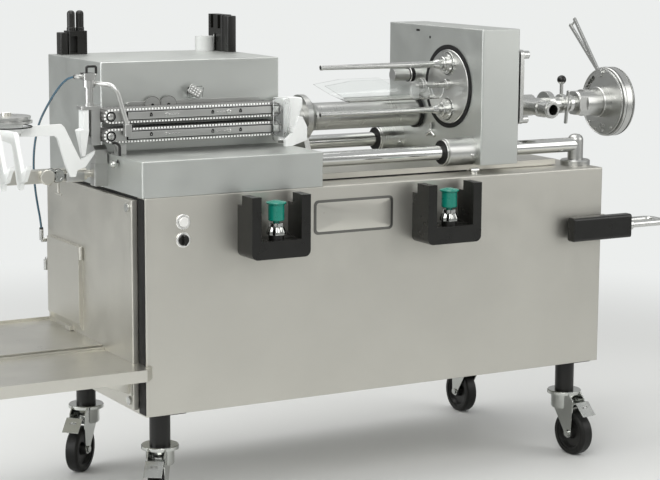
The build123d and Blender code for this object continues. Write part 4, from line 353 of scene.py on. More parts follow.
def seen_directly(nodes, links):
    """1 for what the camera sees itself or through clear plastic, 0 for mirrored and bounced light."""
    ray = add_node(nodes, "LightPath")
    either = add_node(nodes, "Math", operation="MAXIMUM")
    links.new(ray.outputs["Is Camera Ray"], either.inputs[0])
    links.new(ray.outputs["Is Transmission Ray"], either.inputs[1])
    return either.outputs["Value"]


def show_mix(nodes, links, factor, first, second, output):
    """Ends a node tree with a mix of two shaders."""
    mix = add_node(nodes, "MixShader")
    links.new(factor, mix.inputs["Fac"])
    links.new(first, mix.inputs[1])
    links.new(second, mix.inputs[2])
    links.new(mix.outputs["Shader"], nodes[output].inputs["Surface"])


def steel(name, colour, rough, change=0.04, grain=900, lines=(1, 1, 1), relief=0.03, wear=0.08, edge=0.0012):
    """Stainless steel: a fine grain or brushed lines in the relief, soft cloudy gloss and rounded edges."""
    material, nodes, links, shader, place = node_material(name)
    shader.inputs["Metallic"].default_value = 1.0
    cloud = noise(nodes, links, place, 3.2, 4)
    smear = noise(nodes, links, place, 14, 5)
    links.new(tint(nodes, links, cloud, colour, change), shader.inputs["Base Color"])
    fine = noise(nodes, links, place, grain, 3, lines)
    total = add_node(nodes, "Math", operation="ADD")
    links.new(spread(nodes, links, smear, rough - wear / 2, rough + wear / 2), total.inputs[0])
    links.new(spread(nodes, links, fine, -wear / 2, wear / 2), total.inputs[1])
    links.new(total.outputs["Value"], shader.inputs["Roughness"])
    emboss(nodes, links, shader, fine, relief, height=0.0004, edge=edge)
    return material


def plastic(name, colour, rough, change=0.05, grain=700, relief=0.05, edge=0.001, coat=0.0, glow=0.0,
            shine=0.5):
    """Moulded plastic or paint: an even colour with faint clouds, a fine moulded grain and soft edges."""
    material, nodes, links, shader, place = node_material(name)
    cloud = noise(nodes, links, place, 6, 3)
    fine = noise(nodes, links, place, grain, 2)
    links.new(tint(nodes, links, cloud, colour, change), shader.inputs["Base Color"])
    links.new(spread(nodes, links, noise(nodes, links, place, 25, 4), rough - 0.05, rough + 0.06),
              shader.inputs["Roughness"])
    shader.inputs["Coat Weight"].default_value = coat
    shader.inputs["Specular IOR Level"].default_value = shine
    if glow > 0:
        shader.inputs["Emission Color"].default_value = (*colour, 1)
        shader.inputs["Emission Strength"].default_value = glow
    emboss(nodes, links, shader, fine, relief, height=0.0005, edge=edge)
    return material


def clear_plastic(name, colour, rough):
    """Clear cast plastic: it lets light through, and fine scratches soften its shine."""
    material, nodes, links, shader, place = node_material(name)
    shader.inputs["Transmission Weight"].default_value = 1.0
    shader.inputs["IOR"].default_value = 1.49
    cloud = noise(nodes, links, place, 8, 3)
    links.new(tint(nodes, links, cloud, colour, 0.02), shader.inputs["Base Color"])
    scratch = noise(nodes, links, place, 60, 6, (0.2, 1, 1))
    links.new(spread(nodes, links, scratch, rough * 0.5, rough * 1.8), shader.inputs["Roughness"])
    return material


def build_materials():
    """Every finish of the machine by name."""
    look = bpy.context.scene.machine_finish
    sheet = tuple(look.sheet_colour)
    bright = tuple(look.bright_colour)
    gloss = look.bright_gloss
    return {
        "sheet": steel("blasted_sheet", sheet, look.sheet_gloss, change=0.035, grain=1100, relief=0.05,
                       edge=0.0024),
        "cool": steel("cool_sheet", tuple(c * k for c, k in zip(sheet, (0.96, 1.01, 1.06))), look.sheet_gloss,
                      change=0.03, grain=1100, relief=0.05, edge=0.0024),
        "ground": steel("ground_sheet", tuple(c * 1.08 for c in sheet), look.sheet_gloss - 0.08, grain=500,
                        lines=(0.03, 1, 1), relief=0.05),
        "bright": steel("bright_steel", bright, gloss, grain=600, relief=0.02),
        "turned": steel("turned_steel", tuple(c * 0.9 for c in bright), gloss + 0.07, grain=700,
                        lines=(1, 0.04, 0.04), relief=0.05),
        "rod": steel("ground_rod", tuple(min(1, c * 1.1) for c in bright), 0.13, change=0.02, grain=400,
                     lines=(0.05, 1, 1), relief=0.01, wear=0.04, edge=0),
        "satin": steel("satin_steel", tuple(c * 0.86 for c in bright), 0.34, grain=900, relief=0.05),
        "ring": steel("ring_plate", (0.86, 0.86, 0.84), 0.3, change=0.03, grain=300, relief=0.02),
        "satin_dark": steel("dark_steel", (0.16, 0.16, 0.15), 0.4, grain=900, relief=0.05),
        "chrome": steel("chrome_plate", (0.47, 0.48, 0.46), 0.16, change=0.06, grain=60, relief=0.0,
                        wear=0.06),
        "white": plastic("white_plastic", tuple(look.white_colour), 0.36, change=0.03),
        "cap": plastic("cap_plastic", (0.5, 0.51, 0.5), 0.4, change=0.03),
        "belt": plastic("belt_cloth", (0.16, 0.16, 0.155), 0.6, change=0.1, edge=0),
        "tooth": plastic("belt_tooth", (0.88, 0.89, 0.87), 0.5, change=0.05, edge=0),
        "black": plastic("black_plastic", tuple(look.black_colour), 0.3, change=0.2, grain=900, relief=0.12,
                         shine=0.4),
        "rubber": plastic("black_rubber", (0.006, 0.006, 0.006), 0.55, change=0.3, relief=0.15, edge=0,
                          shine=0.25),
        "leg": plastic("black_leg_paint", (0.006, 0.006, 0.005), 0.36, change=0.25, relief=0.1, shine=0.35),
        "button": plastic("button_plastic", tuple(look.button_colour), 0.28, change=0.06, coat=0.3),
        "lens": plastic("lit_lens", (0.62, 0.62, 0.6), 0.22, change=0.02, coat=0.5, glow=0.1),
        "hose": plastic("hose_tube", tuple(look.hose_colour), 0.25, change=0.1, coat=0.4, edge=0),
        "motor": plastic("motor_paint", (0.09, 0.1, 0.11), 0.5, change=0.15),
        "tyre": plastic("tyre_rubber", (0.006, 0.006, 0.005), 0.44, change=0.3, grain=300, relief=0.25,
                        shine=0.3),
        "hub": plastic("hub_plastic", (0.012, 0.012, 0.011), 0.36, change=0.2, shine=0.4),
        "clear": clear_plastic("clear_plastic", (0.97, 0.98, 0.975), 0.04),
    }


MATERIALS = {}


def material_of(name):
    if not MATERIALS:
        MATERIALS.update(build_materials())
    return MATERIALS[name]


CASTERS = ("front_left", "front_right", "rear_left", "rear_right")
BRAKED = ("front_left", "front_right", "rear_left")
NODE_FINISH = {
    "sheet": ("cabinet_shell", "end_cover"),
    "cool": ("step_housing", "drive_housing", "turret_housing"),
    "ground": ("drip_trays", "hook_rail"),
    "bright": ("inlet_valve", "inlet_handle", "coupling_lever", "upper_cover_lock", "lower_cover_lock",
               "upper_horn", "lower_horn", "hose_fittings"),
    "ring": ("control_rings",),
    "turned": ("coupling_flange", "brake_tube", "guide_sleeves", "turret_disc", "nose_wheel",
               "lower_drive_pulley", "lower_idler_pulley", "upper_drive_pulley", "upper_idler_pulley"),
    "rod": ("guide_frame",),
    "satin": ("upper_belt_beam", "lower_belt_beam", "discharge_frame", "swing_arm"),
    "white": ("casing_brake", "discharge_chute", "hook_chain"),
    "belt": ("lower_belt", "upper_belt"),
    "black": ("palm_guards", "knee_lever", "selector_knob", "roof_holders"),
    "rubber": ("carriage_seals",),
    "leg": ("leg_posts",),
    "button": ("left_palm_button", "right_palm_button"),
    "lens": ("push_button",),
    "motor": ("belt_gearmotor", "turret_gearmotor"),
    "clear": ("clear_guards", "casing_trough"),
    "hose": ("air_hose",),
    "chrome": (*(name + "_fork" for name in CASTERS), *(name + "_pedal" for name in BRAKED)),
    "hub": tuple(name + "_wheel" for name in CASTERS),
}

# Where one finish ends and the next begins, and where the nuts stand, in millimetres
HUB_RADIUS = 46.9
PALM_BUTTONS = ((335.5, -50), (849.5, -50))
GUARD_FLOOR = 712
NECK_RADIUS = 17.3
NUT_RADIUS = 17.4
ROOF_CAP = (440, 573)
CAP_RADIUS = 25.1


def second_finish(node, name, choose):
    """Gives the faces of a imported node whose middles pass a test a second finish."""
    mesh = NODES[node].data
    mesh.materials.append(material_of(name))
    centres = np.zeros(len(mesh.polygons) * 3)
    mesh.polygons.foreach_get("center", centres)
    chosen = choose(centres.reshape(-1, 3))
    numbers = np.zeros(len(mesh.polygons), np.int32)
    mesh.polygons.foreach_get("material_index", numbers)
    numbers[chosen] = len(mesh.materials) - 1
    mesh.polygons.foreach_set("material_index", numbers)


def from_axis(points, origin, axis):
    """Distances of points from a line."""
    axis = np.asarray(axis) / np.linalg.norm(axis)
    away = points - np.asarray(origin)
    return np.linalg.norm(away - (away @ axis)[:, None] * axis, axis=1)


def joint_of(name):
    return next(joint for joint in frame["joints"] if joint["name"] == name)


class MACHINE_OT_finish_nodes(bpy.types.Operator):
    """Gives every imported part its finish, and some of their faces a second one."""

    bl_idname = "machine.finish_nodes"
    bl_label = "Finish the packed parts"

    def execute(self, context):
        for name, nodes in NODE_FINISH.items():
            for node in nodes:
                mesh = NODES[node].data
                mesh.materials.clear()
                mesh.materials.append(material_of(name))
        self.split_cabinet()
        self.split_machine()
        return {"FINISHED"}

    def split_cabinet(self):
        """The gasket, the tyres, the nuts of the palm buttons, the roof cap and the knee lever's rod."""
        gasket = low_of("cabinet_shell")[0]
        second_finish("end_cover", "rubber",
                      lambda p: (p[:, 0] > gasket - mm(2.05)) & (p[:, 0] < gasket + mm(0.5)))
        for name in CASTERS:
            joint = joint_of(name + "_wheel_roll")
            second_finish(name + "_wheel", "tyre",
                          lambda p: from_axis(p, joint["pos_m"], joint["axis"]) > mm(HUB_RADIUS))
        floor = at(0, 0, GUARD_FLOOR)[2]
        for place in PALM_BUTTONS:
            nut = at(*place, 0)
            second_finish("palm_guards", "bright",
                          lambda p: (from_axis(p, nut, Z) < mm(NECK_RADIUS)) & (p[:, 2] > floor))
        cap = at(*ROOF_CAP, 0)
        second_finish("roof_holders", "cap", lambda p: from_axis(p, cap, Z) < mm(CAP_RADIUS))
        rod_end = high_of("knee_lever")[0] - mm(139)
        second_finish("knee_lever", "bright", lambda p: p[:, 0] > rod_end)

    def split_machine(self):
        """The bed, the right posts, a lift stud, the inlet knob, the head and the rail's upper end."""
        bed = at(498.5, 99, 816)
        bed_end = at(1300.5, 505, 836)
        second_finish("guide_frame", "ground", lambda p: np.all((p > bed) & (p < bed_end), axis=1))
        post = at(1318, 0, 0)[0]
        second_finish("guide_frame", "satin", lambda p: p[:, 0] > post)
        stud = at(0, 234.9, 997)
        second_finish("lower_belt_beam", "turned", lambda p: (p[:, 1] < stud[1]) & (p[:, 2] > stud[2]))
        knob = high_of("inlet_handle")[2] - mm(19)
        second_finish("inlet_handle", "black", lambda p: p[:, 2] > knob)
        head = at(0, 0, 1108)[2]
        second_finish("discharge_frame", "hub", lambda p: p[:, 2] > head)
        rail_top = low_of("hook_rail")[2] + mm(200)
        second_finish("hook_rail", "white", lambda p: p[:, 2] > rail_top)


# Small parts

DOME_SCREW = np.array(((0, 1), (0.25, 1), (0.5, 0.9), (0.68, 0.62), (0.72, 0.46), (0.3, 0.42), (0.3, 0)))


def screw_surface(place, axis, radius):
    """A domed screw head with a round socket."""
    return turned_surface(DOME_SCREW * radius, place, axis, 24)


class MACHINE_OT_belt_fittings(bpy.types.Operator):
    """Builds the teeth of both belts, what lies on the fronts of their beams, and the sensor plate."""

    bl_idname = "machine.belt_fittings"
    bl_label = "Belt fittings"

    STUDS = (130, 175)
    STUD_LEVEL = 1020
    SENSOR = (245, 225.5, 1052.5)
    SENSOR_TILT = -32
    TOOTH_DEPTH = 3.1
    TOOTH_HALF = 2.45
    TEETH_END = 437
    INLAY_ENDS = (32, 441, 462)
    SOCKETS = (97, 269, 348.6)
    SLIDES = ((160, 15), (292, 12))
    BUTTON = 140
    KNOB = 314.7

    def execute(self, context):
        for side, body in (("upper", "lifting_belt"), ("lower", "frame_body")):
            self.dress_beam(side, body)
            self.teeth(side, body)
        # Painted shade: a black disc in each lift stud's shallow recess stands for the shade inside it
        hole = outline((0, 4.6), (0.3, 4.6), (0.35, 0))
        holes = [turned_surface(hole, at(x, 234.75, self.STUD_LEVEL), -Y, 24) for x in self.STUDS]
        make_piece("lift_stud_hole_shade", holes, "rubber")
        # Painted shade: a dark ring round each lift stud disc stands for the shade along its edge
        rims = [ring_surface(at(x, 235.2, self.STUD_LEVEL), Y, mm(22.2), mm(0.8), 64) for x in self.STUDS]
        make_piece("lift_stud_edge_shade", rims, "satin_dark")
        self.sensor()
        return {"FINISHED"}

    def sensor(self):
        """A tilted plate with rows of small raised pads, beside the eye over the upper belt."""
        slope = radians(self.SENSOR_TILT)
        along = cos(slope) * X + sin(slope) * Z
        across = -sin(slope) * X + cos(slope) * Z
        centre = at(*self.SENSOR)
        height = mm(3)
        plate = plate_surface(centre, along, across, -Y, mm(19), mm(12), height, mm(4), mm(1))
        make_piece("sensor_plate", [plate], "satin")
        pads = []
        for row in (-6.5, 0, 6.5):
            for column in (-12, -4, 4, 12):
                place = centre + mm(column) * along + mm(row) * across - height * Y
                pads.append(plate_surface(place, along, across, -Y, mm(2), mm(1.6), mm(0.8), mm(0.5),
                                          mm(0.3), steps=3))
        make_piece("sensor_pads", pads, "tooth")

    def teeth(self, side, body):
        """Square teeth on the front edge of a belt, at even steps along two runs and two half circles."""
        low = low_of(side + "_belt")
        high = high_of(side + "_belt")
        radius = (high[2] - low[2]) / 2
        middle = radius - mm(self.TOOTH_DEPTH)
        level = (high[2] + low[2]) / 2
        left = low[0] + radius
        run_length = high[0] - radius - left
        turn_length = pi * middle
        total = 2 * (run_length + turn_length)
        count = int(total / trim().tooth_pitch)
        way = (np.arange(count) + 0.5) * total / count
        turn = (np.clip((way - run_length) / middle, 0, pi)
                + np.clip((way - total + turn_length) / middle, 0, pi))
        start = left + np.clip(way, 0, run_length) - np.clip(way - total / 2, 0, run_length)
        outs = np.sin(turn)[:, None] * X + np.cos(turn)[:, None] * Z
        ways = np.cos(turn)[:, None] * X - np.sin(turn)[:, None] * Z
        places = start[:, None] * X + low[1] * Y + level * Z + middle * outs
        keep = places[:, 0] < at(self.TEETH_END, 0, 0)[0]
        half = mm(self.TOOTH_HALF)
        blocks = [plate_surface(place, along, out, -Y, half, half, mm(1.4), mm(0.4), mm(0.3), steps=2)
                  for place, along, out in zip(places[keep], ways[keep], outs[keep])]
        make_piece(side + "_belt_teeth", blocks, "tooth", body)

    def dress_beam(self, side, body):
        """Dresses a beam's front, with a ring round its idler's hub and a cap on the hub."""
        front = low_of(side + "_belt_beam")[1]
        pulley = side + "_idler_pulley"
        x, _, level = (low_of(pulley) + high_of(pulley)) / 2
        self.inlays(side, body, front, level)
        self.catches(side, body, front - mm(1.1), level)
        ring = ring_surface((x, front - mm(0.9), level), Y, trim().ring_radius, mm(1.7))
        make_piece(side + "_hub_ring", [ring], "rubber", body)
        dome = outline((0, 8.7), (0.6, 8.6), (1.6, 7.4), (2.2, 5), (2.4, 0))
        cap = turned_surface(dome, (x, front - mm(0.02), level), -Y, 40)
        make_piece(side + "_hub_cap", [cap], "bright", pulley)

    def inlays(self, side, body, front, level):
        """A raised plate as far as the guard and a flat one behind it, each in a dark seam that is partly the
        real joint and partly painted shadow along the plate's edges.
        """
        left, guard, last = (at(x, 0, 0)[0] for x in self.INLAY_ENDS)
        half = trim().inlay_height / 2
        seam = trim().seam_and_shadow_width
        plates = []
        seams = []
        for start, end, height, bar in ((left, guard, mm(1.1), seam), (guard + mm(0.6), last, mm(0.22), 0)):
            centre = np.array(((start + end) / 2, front, level))
            length = (end - start) / 2
            # The dark seam stands partly for the real joint and partly for painted shadow along the inlay's
            # edges
            seams.append(plate_surface(centre - bar * X / 2, X, Z, -Y, length + bar / 2, half + seam,
                                       height * 0.55, mm(0.8), height * 0.2))
            plates.append(plate_surface(centre, X, Z, -Y, length - seam, half, height, mm(1), height * 0.4))
        make_piece(side + "_beam_seam_and_shadow", seams, "rubber", body)
        make_piece(side + "_beam_inlay", plates, "satin", body)

    def catches(self, side, body, face, level):
        """Small sockets with a screw in each, two slides, a button and a knob."""
        def place(x):
            return np.array((at(x, 0, 0)[0], face, level))

        sockets = []
        for x in self.SOCKETS:
            for centre, length, width in ((place(x), 4, 3.6), (place(x) + mm(4.6) * Z, 2.6, 1.8)):
                sockets.append(plate_surface(centre, X, Z, -Y, mm(length), mm(width), mm(0.5), mm(1.2),
                                             mm(0.2)))
        screw = outline((0.4, 1.5), (0.9, 1.3), (1.0, 0))
        heads = [turned_surface(screw, place(x), -Y, 20) for x in self.SOCKETS]
        make_piece(side + "_beam_sockets", sockets, "rubber", body)
        make_piece(side + "_beam_screws", heads, "chrome", body)
        catches = [plate_surface(place(x), X, Z, -Y, mm(length), mm(2.2), mm(2.2), mm(2), mm(1))
                   for x, length in self.SLIDES]
        button = outline((0, 4.6), (2.4, 4.6), (3.2, 3.8), (3.3, 0))
        knob = outline((0, 6.2), (2.2, 6.2), (3.4, 5.4), (4, 3.6), (4.1, 0))
        for x, shape, steps in ((self.BUTTON, button, 28), (self.KNOB, knob, 32)):
            catches.append(turned_surface(shape, place(x), -Y, steps))
        make_piece(side + "_beam_catches", catches, "bright", body)


class MACHINE_OT_air_hose(bpy.types.Operator):
    """Builds the air hose from the head on the column down to the rear fitting."""

    bl_idname = "machine.air_hose"
    bl_label = "Air hose"

    ROUTE = (
        (-91, 205, 1101.5), (-97, 228, 1099), (-103, 262, 1083), (-108, 305, 1053),
        (-111, 352, 1016), (-109, 402, 980), (-104, 440, 948), (-96, 481, 908),
        (-86, 517, 866), (-74, 549, 820), (-60, 577, 772), (-45, 599, 724),
        (-33, 614, 688), (-28, 620, 659.3),
    )
    HOSE_LENGTH = 639.5

    def execute(self, context):
        curve = bpy.data.curves.new("air_hose_line", "CURVE")
        curve.dimensions = "3D"
        curve.bevel_depth = trim().hose_radius
        curve.bevel_resolution = 5
        curve.resolution_u = 12
        curve.use_fill_caps = True
        spline = curve.splines.new("NURBS")
        spline.points.add(len(self.ROUTE) - 1)
        for point, place in zip(spline.points, self.ROUTE):
            point.co = (*at(*place), 1)
        spline.order_u = 3
        spline.use_endpoint_u = True
        curve.materials.append(material_of("hose"))
        hose = link_object("air_hose_line", curve)
        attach(hose, "frame_body")
        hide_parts("air_hose")
        collars = self.collars()
        return {"FINISHED"}

    def collars(self):
        """A release collar round the hose at each of its ends."""
        profile = outline((0, 3.15), (0, 5.4), (3.2, 5.4), (4.2, 4.4), (4.2, 3.15))
        surfaces = []
        for end, inner in ((0, 1), (-1, -2)):
            start = at(*self.ROUTE[end])
            grid, _, _ = turned_surface(profile, start, at(*self.ROUTE[inner]) - start, 24)
            surfaces.append((grid, True, True))
        return make_piece("hose_collars", surfaces, "hub")


class MACHINE_OT_cabinet_trim(bpy.types.Operator):
    """Builds the seal strips, the bare plate, the cover's screws, the nuts and the roof blocks."""

    bl_idname = "machine.cabinet_trim"
    bl_label = "Cabinet trim"

    COVER_SCREWS = ((64, 784), (64, 306), (582, 784), (582, 306))
    ROOF_BLOCKS = ((25, 579, 11, 16, 58), (480, 496, 13, 15.5, 98))
    ROOF_LEVEL = 1132.1

    def execute(self, context):
        strips = [plate_surface(at(0.02, y, z), Y, Z, -X, mm(half_y), mm(half_z), mm(1.1), mm(1), mm(0.3))
                  for y, z, half_y, half_z in ((21.5, 543.5, 19.5, 270), (323, 812.4, 281, 4))]
        make_piece("corner_seal", strips, "rubber")
        centre = at(589, 0.02, 737.5)
        border = plate_surface(centre, X, Z, -Y, mm(118), mm(44.5), mm(1.2), mm(12), mm(0.4))
        make_piece("plate_border", [border], "satin_dark")
        inner = plate_surface(centre, X, Z, -Y, mm(111), mm(37.5), mm(1.5), mm(8), mm(0.3))
        make_piece("bare_plate", [inner], "ground")
        heads = [screw_surface(at(-17.9, y, z), -X, trim().screw_radius) for y, z in self.COVER_SCREWS]
        make_piece("cover_screws", heads, "bright")
        self.star_nuts()
        blocks = [plate_surface(at(x, y, self.ROOF_LEVEL), X, Y, Z, mm(half_x), mm(half_y), mm(height),
                                mm(3), mm(2)) for x, y, half_x, half_y, height in self.ROOF_BLOCKS]
        make_piece("roof_blocks", blocks, "black")
        # Painted shadow: a thin black strip along the bed's front lower edge stands for the shade between the
        # bed and the cabinet top
        shadow = plate_surface(at(752, 98.95, 819), X, Z, -Y, mm(250), mm(1.6), mm(0.4), mm(0.4), mm(0.1))
        make_piece("bed_painted_shadow", [shadow], "rubber")
        return {"FINISHED"}

    def star_nuts(self):
        """A lobed nut round each button's neck, wide below and drawn in to a plain ring at both ends."""
        neck = NUT_RADIUS
        profile = outline((712.2, neck), (712.2, 23), (719, 23.4), (724, 21.5), (732, 17.9), (732, neck))
        nuts = []
        for place in PALM_BUTTONS:
            foot = at(*place, 0) * (1, 1, 0)
            grid, _, _ = turned_surface(profile, foot, Z, 84, lobes=7, depth=0.09)
            ring = grid[[0, -1]] - foot
            ring[..., :2] *= mm(neck) / np.linalg.norm(ring[..., :2], axis=-1, keepdims=True)
            grid[[0, -1]] = ring + foot
            nuts.append((grid, True, True))
        make_piece("star_nuts", nuts, "chrome")


class MACHINE_OT_carriage_trim(bpy.types.Operator):
    """Builds the clips, nipples, marks, seats and knob on the carriage and the coupling's trim."""

    bl_idname = "machine.carriage_trim"
    bl_label = "Carriage trim"

    SLEEVE_ENDS = ((915.6, 92), (930.6, 465))
    ROD_LEVEL = 873.5
    HORN_LEVELS = (1102.5, 977.5)
    STAR_KNOB = (1008, 286, 909)
    DISC = (1538, 205, 977.5)
    DISC_SCREWS = (-18, -48, -72, -94, -122)

    def execute(self, context):
        clips = [ring_surface(at(x, y, self.ROD_LEVEL), X, mm(33.2), mm(2)) for x, y in self.SLEEVE_ENDS]
        clips.append(ring_surface(at(966.5, 350, 1064), X, mm(20.6), mm(1.5)))
        band = outline((0, 32.05), (0, 33.3), (5.2, 33.3), (5.2, 32.05))
        for x, y in self.SLEEVE_ENDS:
            grid, _, _ = turned_surface(band, at(x - 1, y, self.ROD_LEVEL), X, 56)
            clips.append((grid, True, True))
        make_piece("wiper_clips", clips, "bright", "carriage")
        nipple = outline((0, 4.5), (2, 4.5), (3, 3), (6, 3), (7, 1.8), (7.2, 0))
        nipples = [turned_surface(nipple, at(990, y, 866), -Y, 20) for y in (56, 429)]
        make_piece("grease_nipples", nipples, "bright", "carriage")
        self.horn_seats()
        marks = [turned_surface(outline((0, 4), (0.25, 4), (0.3, 0)), at(1007.98, 303, 1170), -X, 20),
                 plate_surface(at(1007.98, 366, 1187), Y, Z, -X, mm(9), mm(3), mm(0.3), mm(2.8), mm(0.1))]
        make_piece("housing_marks", marks, "rubber", "carriage")
        self.coupling()
        self.star_knob()
        return {"FINISHED"}

    def horn_seats(self):
        """A bright seat with a dark seam round each horn's nut, on the turret disc."""
        for name, radius, thickness, material, slot in (
                ("horn_seats", 31.8, 1.8, "chrome", "polished"),
                ("horn_seams", 29.9, 0.8, "rubber", "black_rubber")):
            rings = [ring_surface(at(1003.9, 205, z), X, mm(radius), mm(thickness), 56)
                     for z in self.HORN_LEVELS]
            make_piece(name, rings, material, "turret")

    def star_knob(self):
        """A knob with three round arms on the housing's left face, below the turret disc."""
        hub = at(*self.STAR_KNOB)
        parts = [turned_surface(outline((0, 7), (8, 7), (9.5, 5.5), (9.5, 0)), hub, -X, 28)]
        for turn in np.radians((90, 210, 330)):
            way = cos(turn) * Y + sin(turn) * Z
            line = np.array([hub - mm(5) * X + mm(step) * way for step in (0, 8, 16, 24)])
            parts.append(tube_surface(line, mm(np.array((4.5, 4.2, 4.4, 4.6))), 14, X))
        make_piece("star_knob", parts, "bright", "carriage")

    def coupling(self):
        """A dark seam, a bright ring and five screws on the coupling's disc."""
        disc = at(*self.DISC)
        seam = ring_surface(disc + mm(13.5) * X, X, mm(99.2), mm(0.9), 72)
        make_piece("coupling_seam", [seam], "rubber", "coupling_flange")
        bright = ring_surface(disc + mm(0.2) * X, X, mm(94), mm(1.6), 72)
        make_piece("coupling_bright_ring", [bright], "bright", "coupling_flange")
        screws = []
        for turn in np.radians(self.DISC_SCREWS):
            place = disc - mm(0.02) * X + mm(84) * (cos(turn) * Y + sin(turn) * Z)
            screws.append(screw_surface(place, -X, mm(3.6)))
        make_piece("coupling_screws", screws, "bright", "coupling_flange")


class MACHINE_OT_caster_cups(bpy.types.Operator):
    """Builds the plated cup under each caster's ring."""

    bl_idname = "machine.caster_cups"
    bl_label = "Caster cups"

    # Levels over the floor, and how far each stands out from the cup's radius, in millimetres
    SHAPE = ((171, 1.5), (166, 1), (162, 0), (133, 0), (129, -2), (128, -5))

    def execute(self, context):
        radius = trim().cup_radius
        top, low = mm(self.SHAPE[0][0]), mm(self.SHAPE[-1][0])
        profile = [(top, 0), *((mm(level), radius + mm(out)) for level, out in self.SHAPE), (low, 0)]
        for name in CASTERS:
            x, y, _ = joint_of(name + "_swivel_turn")["pos_m"]
            cup = turned_surface(profile, (x, y, 0), Z, 56)
            make_piece(name + "_cup", [cup], "chrome", name + "_swivel")
        return {"FINISHED"}


class MACHINE_OT_discharge_trim(bpy.types.Operator):
    """Builds the loop handle, the rail clamp with its discs, and the dark rings of the nose wheel."""

    bl_idname = "machine.discharge_trim"
    bl_label = "Discharge trim"

    LOOP_Y = 147
    LOOP_BEND = 14
    CLAMP_DISCS = ((-153, 857), (-134, 855))
    NOSE_RINGS = ((986, 61.4), (1004, 46))

    def execute(self, context):
        self.loop_handle()
        ball = outline(*((9 * sin(turn), 9 * cos(turn)) for turn in np.linspace(-pi / 2, pi / 2, 15)))
        disc = outline((0, 16.5), (5, 16.5), (6.5, 15), (6.5, 10), (5.6, 9.4), (5.6, 0))
        discs = [turned_surface(ball, at(-17, self.LOOP_Y, 886), Y, 28)]
        discs += [turned_surface(disc, at(x, 225.6, z), -Y, 44) for x, z in self.CLAMP_DISCS]
        rims = [ring_surface(at(x, 225.4, z), Y, mm(16.6), mm(1.1)) for x, z in self.CLAMP_DISCS]
        make_piece("rail_clamp_rims", rims, "rubber")
        make_piece("rail_clamp_discs", discs, "chrome")
        block = plate_surface(at(-91, 225.6, 850), X, Z, -Y, mm(24), mm(12), mm(12), mm(4), mm(2))
        make_piece("rail_clamp_block", [block], "turned")
        rings = [ring_surface(at(-273, 205, z), Z, mm(radius), mm(1.5), 64) for z, radius in self.NOSE_RINGS]
        make_piece("nose_rings", rings, "rubber", "nose_wheel")
        return {"FINISHED"}

    def loop_handle(self):
        """A round rod that runs right, bends down through a quarter circle and leans left."""
        y, bend = self.LOOP_Y, self.LOOP_BEND
        turn = np.linspace(0, pi / 2, 9)
        top = np.stack((-bend + bend * np.sin(turn), np.full(9, y), 925 + bend * np.cos(turn)), 1)
        line = np.vstack(((-20, y, 939), top, (0, y, 908), (-1, y, 898), (-7, y, 889)))
        rod = tube_surface([at(*place) for place in line], mm(3.6), 14, Y)
        make_piece("loop_handle", [rod], "hub")


# Stage

CAMERA_PLACE = (-1906.1, -4262.3, 1468.4)
CAMERA_TURN = 29.6361
CAMERA_DIP = 9.1683
CAMERA_ROLL = 0.3582
CAMERA_LENS = 2.9285
BACKDROP = (0.84, 0.855, 0.845, 1)
ROOM_LOW = (0.34, 0.34, 0.33, 1)
ROOM_HIGH = (0.82, 0.83, 0.83, 1)
ROOM_STRENGTH = 0.75
FADE_WIDTH = 1.6


